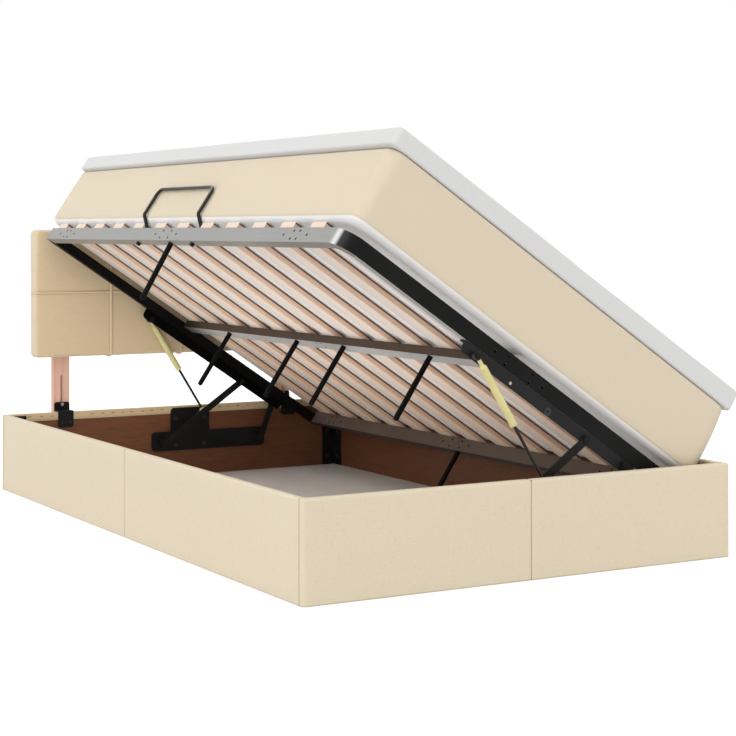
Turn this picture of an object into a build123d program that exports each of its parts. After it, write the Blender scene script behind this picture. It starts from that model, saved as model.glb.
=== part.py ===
from build123d import *
import math
import os

# A storage bed: an upholstered box whose mattress lies on a steel frame that lifts at one
# long side, shown open. X runs across the bed towards the hinge side, Y along it towards
# the headboard, Z up. The origin lies on the floor under the middle of the box.
# Millimetres throughout.

os.makedirs("parts", exist_ok=True)

# Gaps and cuts that all the pieces share
slip = 0.3             # between pieces that move on each other
hole_gap = 0.1         # around a fixed screw or pin
overrun = 60.0         # how far a cut runs past what it cuts

# Lift frame, which the box is built around
lid_width = 1180.0     # across the bed, over the tubes
lid_length = 1956.0    # along the bed, over the tubes
tube_height = 42.0
tube_width = 25.0
head_tube_height = 30.0  # lower, so the headboard shows between it and the mattress
tube_wall = 2.0
bend_radius = 60.0     # outside of the two rounded corners at the foot
pattern_shift = 37.0   # the slats, holes and handle sit this far towards the head

# Box
side_gap = 8.0         # closed frame to each long wall
end_gap = 45.0         # closed frame to each end wall, room for the lift
board = 18.0
cover = 2.0
box_height = 240.0
corner_round = 9.0     # upright outer corners
rim_round = 6.0        # edges along the top of the walls
strip_height = 25.0    # cover turned in over the rim
seam_width = 1.6
seam_depth = 1.0
floor_board = 4.0
floor_joint = 1.0      # gap between two floor boards
floor_boards = 3

# Open and closed places of the lift frame
open_angle = 33.76     # degrees
open_inset = 109.6     # open frame's low edge, in from the hinge wall
open_height = 154.1    # the same edge above the floor
closed_height = 182.0  # closed frame's underside above the floor

# Pivots in the box: in from the hinge wall, and above the floor or below the rim
long_pivot_in = 671.3
long_pivot_height = 122.6
short_pivot_in = 313.7
short_pivot_height = 122.3
strut_pivot_in = 526.0
strut_pivot_drop = 16.0

# Pivots on the lift frame: in from its hinge-side edge, and below its underside
long_pin_in = 323.0
long_pin_drop = 20.0
short_pin_in = 183.0
short_pin_drop = 12.0
strut_pin_in = 724.0
strut_pin_drop = 20.5

# Lift plate under each end of the frame
lift_plate = 4.0
plate_recess = 1.0     # its face lies this far behind the tube's face
plate_far = 760.0      # its ends, in from the frame's hinge-side edge
plate_near = 150.0
plate_height = 30.0
plate_round = 14.0
link_gap = 1.5         # lift plate to link
ring_in = 460.0        # spare pivot ring on the plate
ring_drop = 20.0
ring_radius = 10.0
ring_hole = 4.5
plate_screw_in = 593.0
plate_screw_radius = 4.0
washer_radius = 7.0

# Links
link_width = 21.0
link_thickness = 5.0
link_eye = 12.0        # radius of a link's rounded ends
pin_radius = 5.0
pin_head = 9.0
pin_head_height = 3.0
pin_foot = 8.0
pin_foot_height = 4.0
boss_radius = 12.0
boss_hold = 20.0       # length of pin inside its boss

# Gas struts
strut_gap = 2.0        # link's outer face to the cylinder
cylinder_radius = 9.5
cylinder_length = 203.0  # from its pivot to its open end
cylinder_wall = 2.0
cylinder_cap = 4.0
neck_radius = 5.0
neck_length = 28.0
shoulder_length = 34.0
chamber_start = 36.0
strut_eye = 10.0
strut_eye_width = 12.0
strut_pin_radius = 4.0
strut_pin_head = 7.0
rod_radius = 4.0
rod_eye = 11.0
rod_eye_edge = 1.5
piston_length = 4.0
piston_margin = 1.2    # piston to the cylinder's cap when open

# Bracket that carries the pivots inside each end wall
bracket_plate = 4.0
bracket_low = 90.0
bracket_rim_gap = 6.0  # below the rim
bracket_arm = 154.0    # top of the long low part
bracket_margin = 32.0  # past the outer pivots
tab_far = 634.0        # raised part that carries the gas strut, in from the hinge wall
tab_near = 492.0
bracket_round = 12.0
stud_boss = 5.0

# Screws that hold the steel to the boards
screw_head = 7.0
screw_head_height = 4.0
screw_radius = 3.0
screw_length = 18.0
angle_size = 50.0
angle_thickness = 3.0
angle_height = 150.0
angle_screw_edge = 30.0

# Slats
slat_count = 12
slat_end_gap = 36.0    # at the frame's ends, before the pitch is shared out
slat_width = 70.0
slat_thickness = 18.0
slat_inset = 2.0       # slat ends, in from the tubes' outer faces
slat_round = 4.0

# Middle tube and the feet under the frame
centre_shift = 12.5    # from the frame's middle towards its raised edge
centre_width = 38.0
centre_height = 25.0
centre_hole = 3.0
centre_hole_step_u = 23.0
centre_hole_step_v = 25.0
foot_radius = 7.5
foot_tip_round = 6.0
foot_clearance = 1.0   # closed feet to the floor boards
hinge_foot_clearance = 4.5  # that foot swings lower on its way
centre_foot_shift = 10.5  # from the centre tube's middle towards the raised edge
centre_foot_end = 373.0   # in from the frame's ends
inner_foot_v = 142.0
raised_foot_u = 13.5
raised_foot_lean = 13.0
raised_foot_v = -3.0
hinge_foot_v = 22.0

# Hole groups in the tubes
hole_radius = 3.5
hole_row = 11.5        # rows above and below the tube's middle
group_end = 198.5      # outer groups to the frame's ends, before the shift
group_near = 15.5
group_far = 60.0
middle_near = 28.0
middle_far = 72.0
end_near = 42.0
end_far = 84.0

# Handle that lifts the frame and keeps the mattress in place
handle_radius = 5.0
handle_slat_gap = 48.5  # from its legs to the middle of the next slat outwards
handle_clear = 4.0     # from its upright part to the mattress
handle_bend_start = 4.0  # above the tube
handle_kink = 75.0
handle_top = 163.0
handle_kink_round = 11.0
handle_corner_round = 25.0
handle_cap_radius = 6.5
handle_cap_height = 9.0
handle_cap_end = 3.0

# Mattress and topper
mattress_overhang = 10.0  # past the frame at its sides
mattress_end_overhang = 22.0
mattress_height = 206.0
mattress_corner = 50.0
mattress_low_round = 28.0
mattress_top_round = 14.0
topper_overhang = 14.0
topper_end_overhang = 5.0
topper_height = 57.0
topper_corner = 24.0
topper_round = 20.0

# Headboard
headboard_inset = 76.0  # its ends, in from the frame's edges
headboard_rise = 180.0  # box's rim to the pad
headboard_height = 420.0
headboard_gap = 12.0   # mattress end to the pad
headboard_thickness = 50.0
headboard_corner = 15.0
headboard_round = 11.0
headboard_back_round = 4.0
headboard_board = 20.0
headboard_board_inset = 8.0
welt_radius = 5.5
welt_proud = 3.5
welt_rise = 213.0      # pad's lower edge to the level welt
outer_panel_extra = 6.0  # outer panels are this much wider than the inner ones
welt_end = 9.0         # welts stop this far from the pad's edges

# Posts and their brackets
post_inset = 104.0     # pad's end to a post's middle
post_width = 57.0
post_thickness = 24.0
post_drop = 90.0       # box's rim to a post's lower end
post_top_gap = 120.0   # pad's upper edge to a post's upper end
post_round = 4.0
slot_width = 7.0
slot_drop = 40.0       # slot's ends below and above the box's rim
slot_rise = 118.0
hook_width = 52.0
hook_thickness = 4.0
hook_drop = 50.0       # bracket's ends below and above the box's rim
hook_rise = 30.0
hook_round = 8.0
clamp_rise = 23.0      # clamp bolt above the box's rim
clamp_radius = 3.0
clamp_head = 6.5
clamp_head_height = 4.0
clamp_washer = 11.0
clamp_washer_thickness = 2.0
clamp_nut = 6.5
clamp_nut_height = 5.0
hook_screw_drop = 34.0
hook_screw_step = 15.0
small_head = 4.5
small_head_height = 2.5
small_radius = 2.0
small_length = 16.0
post_screw_low = 60.0  # above the pad's lower edge
post_screw_high = 220.0
post_screw_step = 15.0
post_screw_bite = 12.0  # into the headboard's board

# Places that follow from the sizes above
wall = board + 2 * cover
inner_x = lid_width / 2 + side_gap
outer_x = inner_x + wall
inner_y = lid_length / 2 + end_gap
outer_y = inner_y + wall
lid_end = lid_length / 2
strip_low = box_height - strip_height

long_pivot_x = inner_x - long_pivot_in
short_pivot_x = inner_x - short_pivot_in
strut_pivot_x = inner_x - strut_pivot_in
strut_pivot_z = box_height - strut_pivot_drop
long_pin_u = lid_width - long_pin_in
short_pin_u = lid_width - short_pin_in
strut_pin_u = lid_width - strut_pin_in
plate_start = lid_width - plate_far
plate_end = lid_width - plate_near
centre_u = lid_width / 2 - centre_shift
centre_foot_u = centre_u - centre_foot_shift
slat_pitch = (lid_length - 2 * slat_end_gap) / slat_count
handle_half = 3 / 2 * slat_pitch - handle_slat_gap

mattress_width = lid_width + 2 * mattress_overhang
mattress_length = lid_length + 2 * mattress_end_overhang

headboard_half = lid_width / 2 - headboard_inset
headboard_low = box_height + headboard_rise
headboard_high = headboard_low + headboard_height
welt_z = headboard_low + welt_rise
welt_x = (headboard_half - outer_panel_extra) / 2
post_x = headboard_half - post_inset
clamp_z = box_height + clamp_rise

turn = math.radians(open_angle)
raised_x = inner_x - open_inset - lid_width * math.cos(turn)
raised_z = open_height + lid_width * math.sin(turn)
open_place = Location((raised_x, 0, raised_z), (0, open_angle, 0))

plate_face = lid_end - plate_recess
link_in = plate_face + link_gap
link_out = link_in + link_thickness
strut_y = link_out + strut_gap + cylinder_radius
bracket_face = inner_y - bracket_plate


def block(x, y, z):
    """A box between pairs of places along X, Y and Z."""
    size = Box(x[1] - x[0], y[1] - y[0], z[1] - z[0])
    return Pos((x[0] + x[1]) / 2, (y[0] + y[1]) / 2, (z[0] + z[1]) / 2) * size


def rod_along_y(radius, x, z, y):
    """A round rod along Y between a pair of places."""
    return Pos(x, (y[0] + y[1]) / 2, z) * Rot(90, 0, 0) * Cylinder(radius, y[1] - y[0])


def rod_along_z(radius, x, y, z):
    """A round rod along Z between a pair of places."""
    return Pos(x, y, (z[0] + z[1]) / 2) * Cylinder(radius, z[1] - z[0])


def rounded(shape, axis, radius):
    """The same shape with all its edges along one axis rounded."""
    return fillet(shape.edges().filter_by(axis), radius)


def to_world(u, n):
    """A place on the open lift frame, given from its raised edge and its underside."""
    x = raised_x + u * math.cos(turn) + n * math.sin(turn)
    z = raised_z - u * math.sin(turn) + n * math.cos(turn)
    return x, z


def aim(start, end, y):
    """Distance between two places across the bed, and the location whose X axis joins them."""
    dx = end[0] - start[0]
    dz = end[1] - start[1]
    angle = -math.degrees(math.atan2(dz, dx))
    return math.hypot(dx, dz), Location((start[0], y, start[1]), (0, angle, 0))


def foot_side(shape):
    """The foot-end twin of a piece at the head end."""
    return mirror(shape, about=Plane.XZ)


def screw(head_radius, head_height, radius, length):
    """A screw along Z whose head sits on the plane Z = 0."""
    head = rod_along_z(head_radius, 0, 0, (-head_height, 0))
    head = chamfer(head.edges().sort_by(Axis.Z)[0], head_height / 4)
    return head + rod_along_z(radius, 0, 0, (0, length))


def screw_hole(radius, length):
    """The hole for such a screw."""
    return rod_along_z(radius + hole_gap, 0, 0, (-length, length + hole_gap))


def at_places(shape, places):
    """Copies of a shape with its Z axis along the direction given at each place."""
    return [Plane(origin=point, z_dir=way).location * shape for point, way in places]


def grooves(shape, tools):
    """A shape with each of the tools cut out of it."""
    for tool in tools:
        shape = shape - tool
    return shape


pieces = {}


# Box walls
def end_wall():
    """Board and cover of the wall at the head."""
    core = block((-outer_x + cover, outer_x - cover), (inner_y + cover, outer_y - cover),
                 (0, box_height - cover))
    far = core.edges().filter_by(Axis.Z).group_by(Axis.Y)[-1]
    core = fillet(far, corner_round - cover)
    skin = block((-outer_x, outer_x), (inner_y, outer_y), (0, box_height))
    far = skin.edges().filter_by(Axis.Z).group_by(Axis.Y)[-1]
    skin = fillet(far, corner_round)
    skin = fillet(skin.faces().sort_by(Axis.Z)[-1].edges(), rim_round)
    skin = skin - core
    skin = skin - block((-inner_x, inner_x), (inner_y - overrun, inner_y + cover),
                        (-overrun, strip_low))
    for side in (-1, 1):
        beyond = sorted((side * inner_x, side * (outer_x + overrun)))
        skin = skin - block(beyond, (inner_y - overrun, inner_y + cover),
                            (-overrun, box_height + overrun))
    middle = (-seam_width / 2, seam_width / 2)
    skin = skin - block(middle, (outer_y - seam_depth, outer_y + overrun),
                        (-overrun, box_height + overrun))
    skin = skin - block(middle, (inner_y - overrun, outer_y + overrun),
                        (box_height - seam_depth, box_height + overrun))
    return core, skin


def side_wall():
    """Board and cover of the wall on the hinge side."""
    ends = (-inner_y - cover, inner_y + cover)
    core = block((inner_x + cover, outer_x - cover), ends, (0, box_height - cover))
    skin = block((inner_x, outer_x), ends, (0, box_height))
    top = skin.edges().filter_by(Axis.Y).group_by(Axis.Z)[-1]
    skin = fillet(top, rim_round)
    skin = skin - core
    skin = skin - block((inner_x - overrun, inner_x + cover),
                        (-inner_y - overrun, inner_y + overrun), (-overrun, strip_low))
    middle = (-seam_width / 2, seam_width / 2)
    skin = skin - block((outer_x - seam_depth, outer_x + overrun), middle,
                        (-overrun, box_height + overrun))
    skin = skin - block((inner_x - overrun, outer_x + overrun), middle,
                        (box_height - seam_depth, box_height + overrun))
    return core, skin


def corner_angles():
    """Steel angles standing on the floor boards in the four inner corners."""
    x0 = inner_x + cover
    y0 = inner_y + cover
    height = (floor_board, floor_board + angle_height)
    one = block((x0 - angle_size, x0), (y0 - angle_thickness, y0), height)
    one = one + block((x0 - angle_thickness, x0), (y0 - angle_size, y0), height)
    low = floor_board + angle_screw_edge
    high = floor_board + angle_height - angle_screw_edge
    places = []
    for z in (low, high):
        places.append(((x0 - angle_screw_edge, y0 - angle_thickness, z), (0, 1, 0)))
        places.append(((x0 - angle_thickness, y0 - angle_screw_edge, z), (1, 0, 0)))
    return one, places


def in_four_corners(shape):
    """A shape at the corner of +X and +Y, and its copies in the other three corners."""
    across = mirror(shape, about=Plane.YZ)
    return [shape, across, foot_side(shape), foot_side(across)]


# Lift bracket on the head wall
def lift_bracket():
    """Steel plate with the places of its four screws."""
    thick = (bracket_face, inner_y)
    low = block((long_pivot_x - bracket_margin, short_pivot_x + bracket_margin), thick,
                (bracket_low, bracket_arm))
    bracket_high = box_height - bracket_rim_gap
    tab_ends = (inner_x - tab_far, inner_x - tab_near)
    tab = block(tab_ends, thick, (bracket_low, bracket_high))
    plate = rounded(low, Axis.Y, bracket_round) + rounded(tab, Axis.Y, bracket_round)
    edge = 1.5 * bracket_round
    places = []
    for x in (tab_ends[0] + edge, tab_ends[1] - edge):
        for z in (bracket_low + edge, bracket_high - 2 * edge):
            places.append(((x, bracket_face, z), (0, 1, 0)))
    return plate, places


def pivot_bosses():
    """Two tubes that carry the links and a stud that carries the gas strut."""
    reach = (link_out + slip, bracket_face)
    long_boss = rod_along_y(boss_radius, long_pivot_x, long_pivot_height, reach)
    short_boss = rod_along_y(boss_radius, short_pivot_x, short_pivot_height, reach)
    held = (reach[0] - overrun, reach[0] + boss_hold + hole_gap)
    long_boss = long_boss - rod_along_y(pin_radius + hole_gap, long_pivot_x, long_pivot_height, held)
    short_boss = short_boss - rod_along_y(pin_radius + hole_gap, short_pivot_x,
                                          short_pivot_height, held)
    stud = rod_along_y(stud_boss, strut_pivot_x, strut_pivot_z,
                       (strut_y + strut_eye_width / 2 + slip, bracket_face))
    return [long_boss, short_boss, stud]


def base_pin(x, z):
    """Headed pin on which a link turns."""
    inner = link_in - slip
    head = rod_along_y(pin_head, x, z, (inner - pin_head_height, inner))
    return head + rod_along_y(pin_radius, x, z, (inner, link_out + slip + boss_hold))


# Links and gas struts at the head end
def link_bar(length):
    """Flat bar with round ends along X, its first end at the origin."""
    half = link_thickness / 2
    bar = block((0, length), (-half, half), (-link_width / 2, link_width / 2))
    for x in (0, length):
        bar = bar + rod_along_y(link_eye, x, 0, (-half, half))
    return bar


def link_hole(x):
    """Running hole for a link's pin."""
    return rod_along_y(pin_radius + slip, x, 0, (-overrun, overrun))


def long_link():
    """Link with a running hole at each end."""
    length, place = aim((long_pivot_x, long_pivot_height), to_world(long_pin_u, -long_pin_drop),
                        (link_in + link_out) / 2)
    return place * grooves(link_bar(length), [link_hole(0), link_hole(length)])


def short_link():
    """Link with a running hole at the box and a riveted pin at the frame."""
    length, place = aim((short_pivot_x, short_pivot_height), to_world(short_pin_u, -short_pin_drop),
                        (link_in + link_out) / 2)
    half = link_thickness / 2
    bar = link_bar(length) - link_hole(0)
    bar = bar + rod_along_y(pin_head, length, 0, (half, half + pin_head_height))
    return place * bar


def strut_cylinder():
    """Gas cylinder with its eye at the frame, and the rod that slides in it."""
    length, place = aim(to_world(strut_pin_u, -strut_pin_drop), (strut_pivot_x, strut_pivot_z),
                        strut_y)
    eye_half = strut_eye_width / 2
    profile = Polyline((0, 0), (0, neck_radius), (neck_length, neck_radius),
                       (shoulder_length, cylinder_radius), (cylinder_length, cylinder_radius),
                       (cylinder_length, 0), close=True)
    body = revolve(make_face(profile), Axis.X)
    body = body + rod_along_y(strut_eye, 0, 0, (-eye_half, eye_half))
    body = body - rod_along_y(strut_pin_radius + slip, 0, 0, (-overrun, overrun))
    chamber_end = cylinder_length - cylinder_cap
    chamber = Polyline((chamber_start, 0), (chamber_start, cylinder_radius - cylinder_wall),
                       (chamber_end, cylinder_radius - cylinder_wall),
                       (chamber_end, rod_radius + slip),
                       (cylinder_length + overrun, rod_radius + slip),
                       (cylinder_length + overrun, 0), close=True)
    body = body - revolve(make_face(chamber), Axis.X)

    tip = chamber_end - piston_margin - piston_length
    piston_radius = cylinder_radius - cylinder_wall - slip
    shaft = Polyline((tip, 0), (tip, piston_radius), (tip + piston_length, piston_radius),
                     (tip + piston_length, rod_radius), (length, rod_radius), (length, 0),
                     close=True)
    rod = revolve(make_face(shaft), Axis.X)
    eye = rod_along_y(rod_eye, length, 0, (-eye_half, eye_half))
    eye = chamfer(eye.edges().filter_by(GeomType.CIRCLE), rod_eye_edge)
    return place * body, place * (rod + eye)


# Lift frame, modelled closed: X from its raised edge, Z from its underside
def tube(u, v, mitre):
    """Long tube along Y, cut at 45 degrees at its head end and closed there."""
    low, high = v
    near, far = u
    face = make_face(Polyline((near, low), (far, low), (far, high - mitre), (near, high),
                              close=True))
    solid = extrude(face, tube_height)
    bore_end = high - mitre - tube_wall
    bore = block((min(u) + tube_wall, max(u) - tube_wall), (low - overrun, bore_end),
                 (tube_wall, tube_height - tube_wall))
    return solid - bore


def side_holes(centre, near, far):
    """Six holes through a long tube's sides: four near, two far, about one centre."""
    middle = tube_height / 2
    places = [(centre + s * near, middle + r * hole_row) for s in (-1, 1) for r in (-1, 1)]
    places += [(centre - far, middle), (centre + far, middle)]
    return places


def long_tube(u, bend_end):
    """Raised or hinge-side tube with its three groups of holes."""
    bar = tube(u, (-lid_end + bend_end, lid_end), tube_width)
    groups = side_holes(pattern_shift, middle_near, middle_far)
    for side in (-1, 1):
        groups += side_holes(pattern_shift + side * (lid_end - group_end), group_near, group_far)
    for v, n in groups:
        hole = Rot(0, 90, 0) * Cylinder(hole_radius, 2 * tube_width)
        bar = bar - Pos((u[0] + u[1]) / 2, v, n) * hole
    return bar


def head_tube():
    """Lower tube across the head, mitred at both ends."""
    face = make_face(Polyline((0, lid_end), (lid_width, lid_end),
                              (lid_width - tube_width, lid_end - tube_width),
                              (tube_width, lid_end - tube_width), close=True))
    solid = extrude(face, head_tube_height)
    return solid - block((-overrun, lid_width + overrun),
                         (lid_end - tube_width + tube_wall, lid_end - tube_wall),
                         (tube_wall, head_tube_height - tube_wall))


def foot_tube():
    """Tube across the foot between the two bends, with one group of holes."""
    bar = block((bend_radius, lid_width - bend_radius), (-lid_end, -lid_end + tube_width),
                (0, tube_height))
    bar = bar - block((bend_radius - overrun, lid_width - bend_radius + overrun),
                      (-lid_end + tube_wall, -lid_end + tube_width - tube_wall),
                      (tube_wall, tube_height - tube_wall))
    for u, n in side_holes(lid_width / 2, end_near, end_far):
        bar = bar - rod_along_y(hole_radius, u, n, (-lid_end - overrun, -lid_end + overrun))
    return bar


def foot_bends():
    """The two rounded corners at the foot."""
    ring = Circle(bend_radius) - Circle(bend_radius - tube_width)
    bore = Circle(bend_radius - tube_wall) - Circle(bend_radius - tube_width + tube_wall)
    solid = extrude(ring, tube_height)
    solid = solid - Pos(0, 0, tube_wall) * extrude(bore, tube_height - 2 * tube_wall)
    corner = solid & block((-overrun - bend_radius, 0), (-overrun - bend_radius, 0),
                           (0, tube_height))
    raised = Pos(bend_radius, -lid_end + bend_radius, 0) * corner
    hinge = mirror(raised, about=Plane.YZ.offset(lid_width / 2))
    return [raised, hinge]


def centre_tube():
    """Shallower tube along the middle, under the slats."""
    u = (centre_u - centre_width / 2, centre_u + centre_width / 2)
    n = (tube_height - centre_height, tube_height)
    end = lid_end - tube_width
    bar = block(u, (-end, end), n)
    bar = bar - block((u[0] + tube_wall, u[1] - tube_wall), (-end - overrun, end + overrun),
                      (n[0] + tube_wall, n[1] - tube_wall))
    holes = [(centre_u + s * centre_hole_step_u / 2, foot_middle() + r * centre_hole_step_v / 2)
             for s in (-1, 1) for r in (-1, 1)]
    for x, y in holes:
        bar = bar - rod_along_z(centre_hole, x, y, (-overrun, overrun - tube_height))
        bar = bar - rod_along_z(centre_hole, x, y, (n[0] - tube_wall, n[0] + 2 * tube_wall))
    return bar


def foot_middle():
    """Middle of the centre tube's own holes along the bed."""
    return (raised_foot_v + hinge_foot_v) / 2


def frame_foot(top, tip, v):
    """A round foot rod from one place (u, n) to another, cut level at its top."""
    length, place = aim(top, tip, v)
    rod = Rot(0, 90, 0) * Pos(0, 0, (length - tube_wall) / 2) * Cylinder(foot_radius,
                                                                        length + tube_wall)
    rod = fillet(rod.edges().sort_by(Axis.X)[-1], foot_tip_round)
    above = block((top[0] - overrun, top[0] + overrun), (v - overrun, v + overrun),
                  (top[1], top[1] + overrun))
    return place * rod - above


def frame_feet():
    """Six feet that stand on the floor boards when the bed is closed."""
    tip = floor_board + foot_clearance - closed_height
    under_centre = tube_height - centre_height
    feet = []
    outer_foot_v = lid_end - centre_foot_end
    for v in (-outer_foot_v, outer_foot_v, -inner_foot_v, inner_foot_v):
        feet.append(frame_foot((centre_foot_u, under_centre), (centre_foot_u, tip), v))
    feet.append(frame_foot((raised_foot_u, 0), (raised_foot_u + raised_foot_lean, tip),
                           raised_foot_v))
    hinge_u = lid_width - tube_width / 2
    hinge_tip = tip + hinge_foot_clearance - foot_clearance
    feet.append(frame_foot((hinge_u, 0), (hinge_u, hinge_tip), hinge_foot_v))
    return feet


def slat(v):
    """One board across the frame."""
    board_solid = block((slat_inset, lid_width - slat_inset),
                        (v - slat_width / 2, v + slat_width / 2),
                        (tube_height, tube_height + slat_thickness))
    return rounded(board_solid, Axis.X, slat_round)


def handle():
    """Bent rod through the raised tube, standing against the mattress."""
    u = tube_width / 2
    low = pattern_shift - handle_half
    high = pattern_shift + handle_half
    end = handle_cap_end - handle_cap_height
    bend = tube_height + handle_bend_start
    out = -mattress_overhang - handle_clear - handle_radius
    route = FilletPolyline((u, low, end), (u, low, bend), (out, low, handle_kink),
                           (out, low, handle_top), (out, high, handle_top),
                           (out, high, handle_kink), (u, high, bend), (u, high, end),
                           radius=[handle_kink_round, handle_kink_round, handle_corner_round,
                                   handle_corner_round, handle_kink_round, handle_kink_round])
    start = Plane(origin=(u, low, end), z_dir=(0, 0, 1))
    return sweep(start * Circle(handle_radius), path=route)


def handle_cap(v):
    """Cap on a lower end of the handle."""
    u = tube_width / 2
    cap = rod_along_z(handle_cap_radius, u, v, (-handle_cap_height, 0))
    cap = fillet(cap.edges().sort_by(Axis.Z)[0], handle_cap_end / 2)
    return cap - rod_along_z(handle_radius + hole_gap, u, v,
                             (handle_cap_end - handle_cap_height - hole_gap, overrun))


def lift_plate_head():
    """Steel angle under the head tube that carries the frame's pivots."""
    upright = block((plate_start, plate_end), (plate_face - lift_plate, plate_face),
                    (-plate_height, 0))
    low = upright.edges().filter_by(Axis.Y).group_by(Axis.Z)[0]
    upright = fillet(low, plate_round)
    flange = block((plate_start, plate_end), (lid_end - tube_width, plate_face - lift_plate),
                   (-lift_plate, 0))
    plate = upright + flange
    for u, n, radius in ((long_pin_u, -long_pin_drop, pin_radius),
                         (strut_pin_u, -strut_pin_drop, strut_pin_radius)):
        plate = plate - rod_along_y(radius + hole_gap, u, n, (0, lid_length))
    return plate


def frame_pin(u, n, radius, seat_radius, seat_end, head_radius, head_start):
    """Pin through the lift plate: a foot behind it, a seat before it, and a head."""
    behind = plate_face - lift_plate
    pin = rod_along_y(pin_foot, u, n, (behind - pin_foot_height, behind))
    pin = pin + rod_along_y(radius, u, n, (behind, head_start))
    pin = pin + rod_along_y(seat_radius, u, n, (plate_face, seat_end))
    return pin + rod_along_y(head_radius, u, n, (head_start, head_start + pin_head_height))


def frame_pins():
    """Pins of the long link and the gas strut at the head end."""
    long_pin = frame_pin(long_pin_u, -long_pin_drop, pin_radius, pin_foot, link_in - slip,
                         pin_head, link_out + slip)
    eye_half = strut_eye_width / 2
    strut_pin = frame_pin(strut_pin_u, -strut_pin_drop, strut_pin_radius, strut_pin_head,
                          strut_y - eye_half - slip, strut_pin_head, strut_y + eye_half + slip)
    return [long_pin, strut_pin]


def plate_fittings():
    """Spare pivot ring, washer and screw head on the lift plate at the head end."""
    reach = (plate_face, link_in - slip)
    ring_u = lid_width - ring_in
    screw_u = lid_width - plate_screw_in
    ring = rod_along_y(ring_radius, ring_u, -ring_drop, reach)
    ring = ring - rod_along_y(ring_hole, ring_u, -ring_drop, (0, lid_length))
    washer = rod_along_y(washer_radius, short_pin_u, -short_pin_drop, reach)
    head = rod_along_y(plate_screw_radius, screw_u, -ring_drop, reach)
    return [ring, washer, head]


def soft_block(x, y, z, corner, low_round, top_round):
    """Mattress shape: upright corners rounded first, then the edges below and above."""
    solid = rounded(block(x, y, z), Axis.Z, corner)
    solid = fillet(solid.faces().sort_by(Axis.Z)[0].edges(), low_round)
    return fillet(solid.faces().sort_by(Axis.Z)[-1].edges(), top_round)


def mattress():
    """Mattress on the slats, centred on the frame."""
    low = tube_height + slat_thickness
    middle = lid_width / 2
    return soft_block((middle - mattress_width / 2, middle + mattress_width / 2),
                      (-mattress_length / 2, mattress_length / 2),
                      (low, low + mattress_height),
                      mattress_corner, mattress_low_round, mattress_top_round)


def topper():
    """Soft white layer on the mattress, a little wider than it."""
    low = tube_height + slat_thickness + mattress_height
    middle = lid_width / 2
    half = mattress_width / 2 + topper_overhang
    end = mattress_length / 2 + topper_end_overhang
    return soft_block((middle - half, middle + half), (-end, end), (low, low + topper_height),
                      topper_corner, topper_round, topper_round)


# Headboard, behind the head wall
pad_front = mattress_length / 2 + headboard_gap
pad_back = pad_front + headboard_thickness


def headboard_pad():
    """Upholstered pad with raised welts on its front, open at the back for its board."""
    pad = block((-headboard_half, headboard_half), (pad_front, pad_back),
                (headboard_low, headboard_high))
    pad = rounded(pad, Axis.Y, headboard_corner)
    pad = fillet(pad.faces().sort_by(Axis.Y)[0].edges(), headboard_round)
    pad = fillet(pad.faces().sort_by(Axis.Y)[-1].edges(), headboard_back_round)
    sunk = pad_front + welt_radius - welt_proud
    span = headboard_half - welt_end
    across = Pos(0, sunk, welt_z) * Rot(0, 90, 0) * Cylinder(welt_radius, 2 * span)
    pad = pad + across
    for x in (-welt_x, 0, welt_x):
        pad = pad + rod_along_z(welt_radius, x, sunk,
                                (headboard_low + welt_end, headboard_high - welt_end))
    inset = headboard_board_inset
    return pad - block((-headboard_half + inset, headboard_half - inset),
                       (pad_back - headboard_board, pad_back + overrun),
                       (headboard_low + inset, headboard_high - inset))


def headboard_core():
    """Board in the back of the pad."""
    inset = headboard_board_inset
    return block((-headboard_half + inset, headboard_half - inset),
                 (pad_back - headboard_board, pad_back),
                 (headboard_low + inset, headboard_high - inset))


def post(x):
    """Wooden post behind the headboard with a slot for its clamp bolt."""
    wood = block((x - post_width / 2, x + post_width / 2), (pad_back, pad_back + post_thickness),
                 (box_height - post_drop, headboard_high - post_top_gap))
    wood = rounded(wood, Axis.Z, post_round)
    slot = block((x - slot_width / 2, x + slot_width / 2),
                 (pad_back - overrun, pad_back + overrun),
                 (box_height - slot_drop, box_height + slot_rise))
    return wood - rounded(slot, Axis.Y, slot_width / 2 - hole_gap)


def hook(x):
    """Stepped steel bracket over the rim: a leg inside the wall and one against the post."""
    half = hook_width / 2
    step = (box_height, box_height + hook_thickness)
    front = pad_back - slip
    inside = block((x - half, x + half), (inner_y - hook_thickness, inner_y),
                   (box_height - hook_drop, step[1]))
    low = inside.edges().filter_by(Axis.Y).group_by(Axis.Z)[0]
    inside = fillet(low, hook_round)
    over = block((x - half, x + half), (inner_y - hook_thickness, front), step)
    outside = block((x - half, x + half), (front - hook_thickness, front),
                    (box_height, box_height + hook_rise))
    high = outside.edges().filter_by(Axis.Y).group_by(Axis.Z)[-1]
    outside = fillet(high, hook_round)
    return inside + over + outside


def clamp_bolt(x):
    """Bolt through a bracket and its post's slot, with washer and nut behind the post."""
    face = pad_back - slip - hook_thickness
    back = pad_back + post_thickness + slip
    bolt = rod_along_y(clamp_head, x, clamp_z, (face - clamp_head_height, face))
    bolt = chamfer(bolt.edges().sort_by(Axis.Y)[0], clamp_head_height / 4)
    washer_end = back + clamp_washer_thickness
    bolt = bolt + rod_along_y(clamp_radius, x, clamp_z, (face, washer_end))
    bolt = bolt + rod_along_y(clamp_washer, x, clamp_z, (back, washer_end))
    nut = Pos(x, washer_end, clamp_z) * Rot(-90, 0, 0) * extrude(
        RegularPolygon(clamp_nut, 6), clamp_nut_height)
    return bolt + nut


# Box and what is screwed to it
head_core, head_cover = end_wall()
hinge_core, hinge_cover = side_wall()
angle, angle_places = corner_angles()
bracket, bracket_places = lift_bracket()

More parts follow.
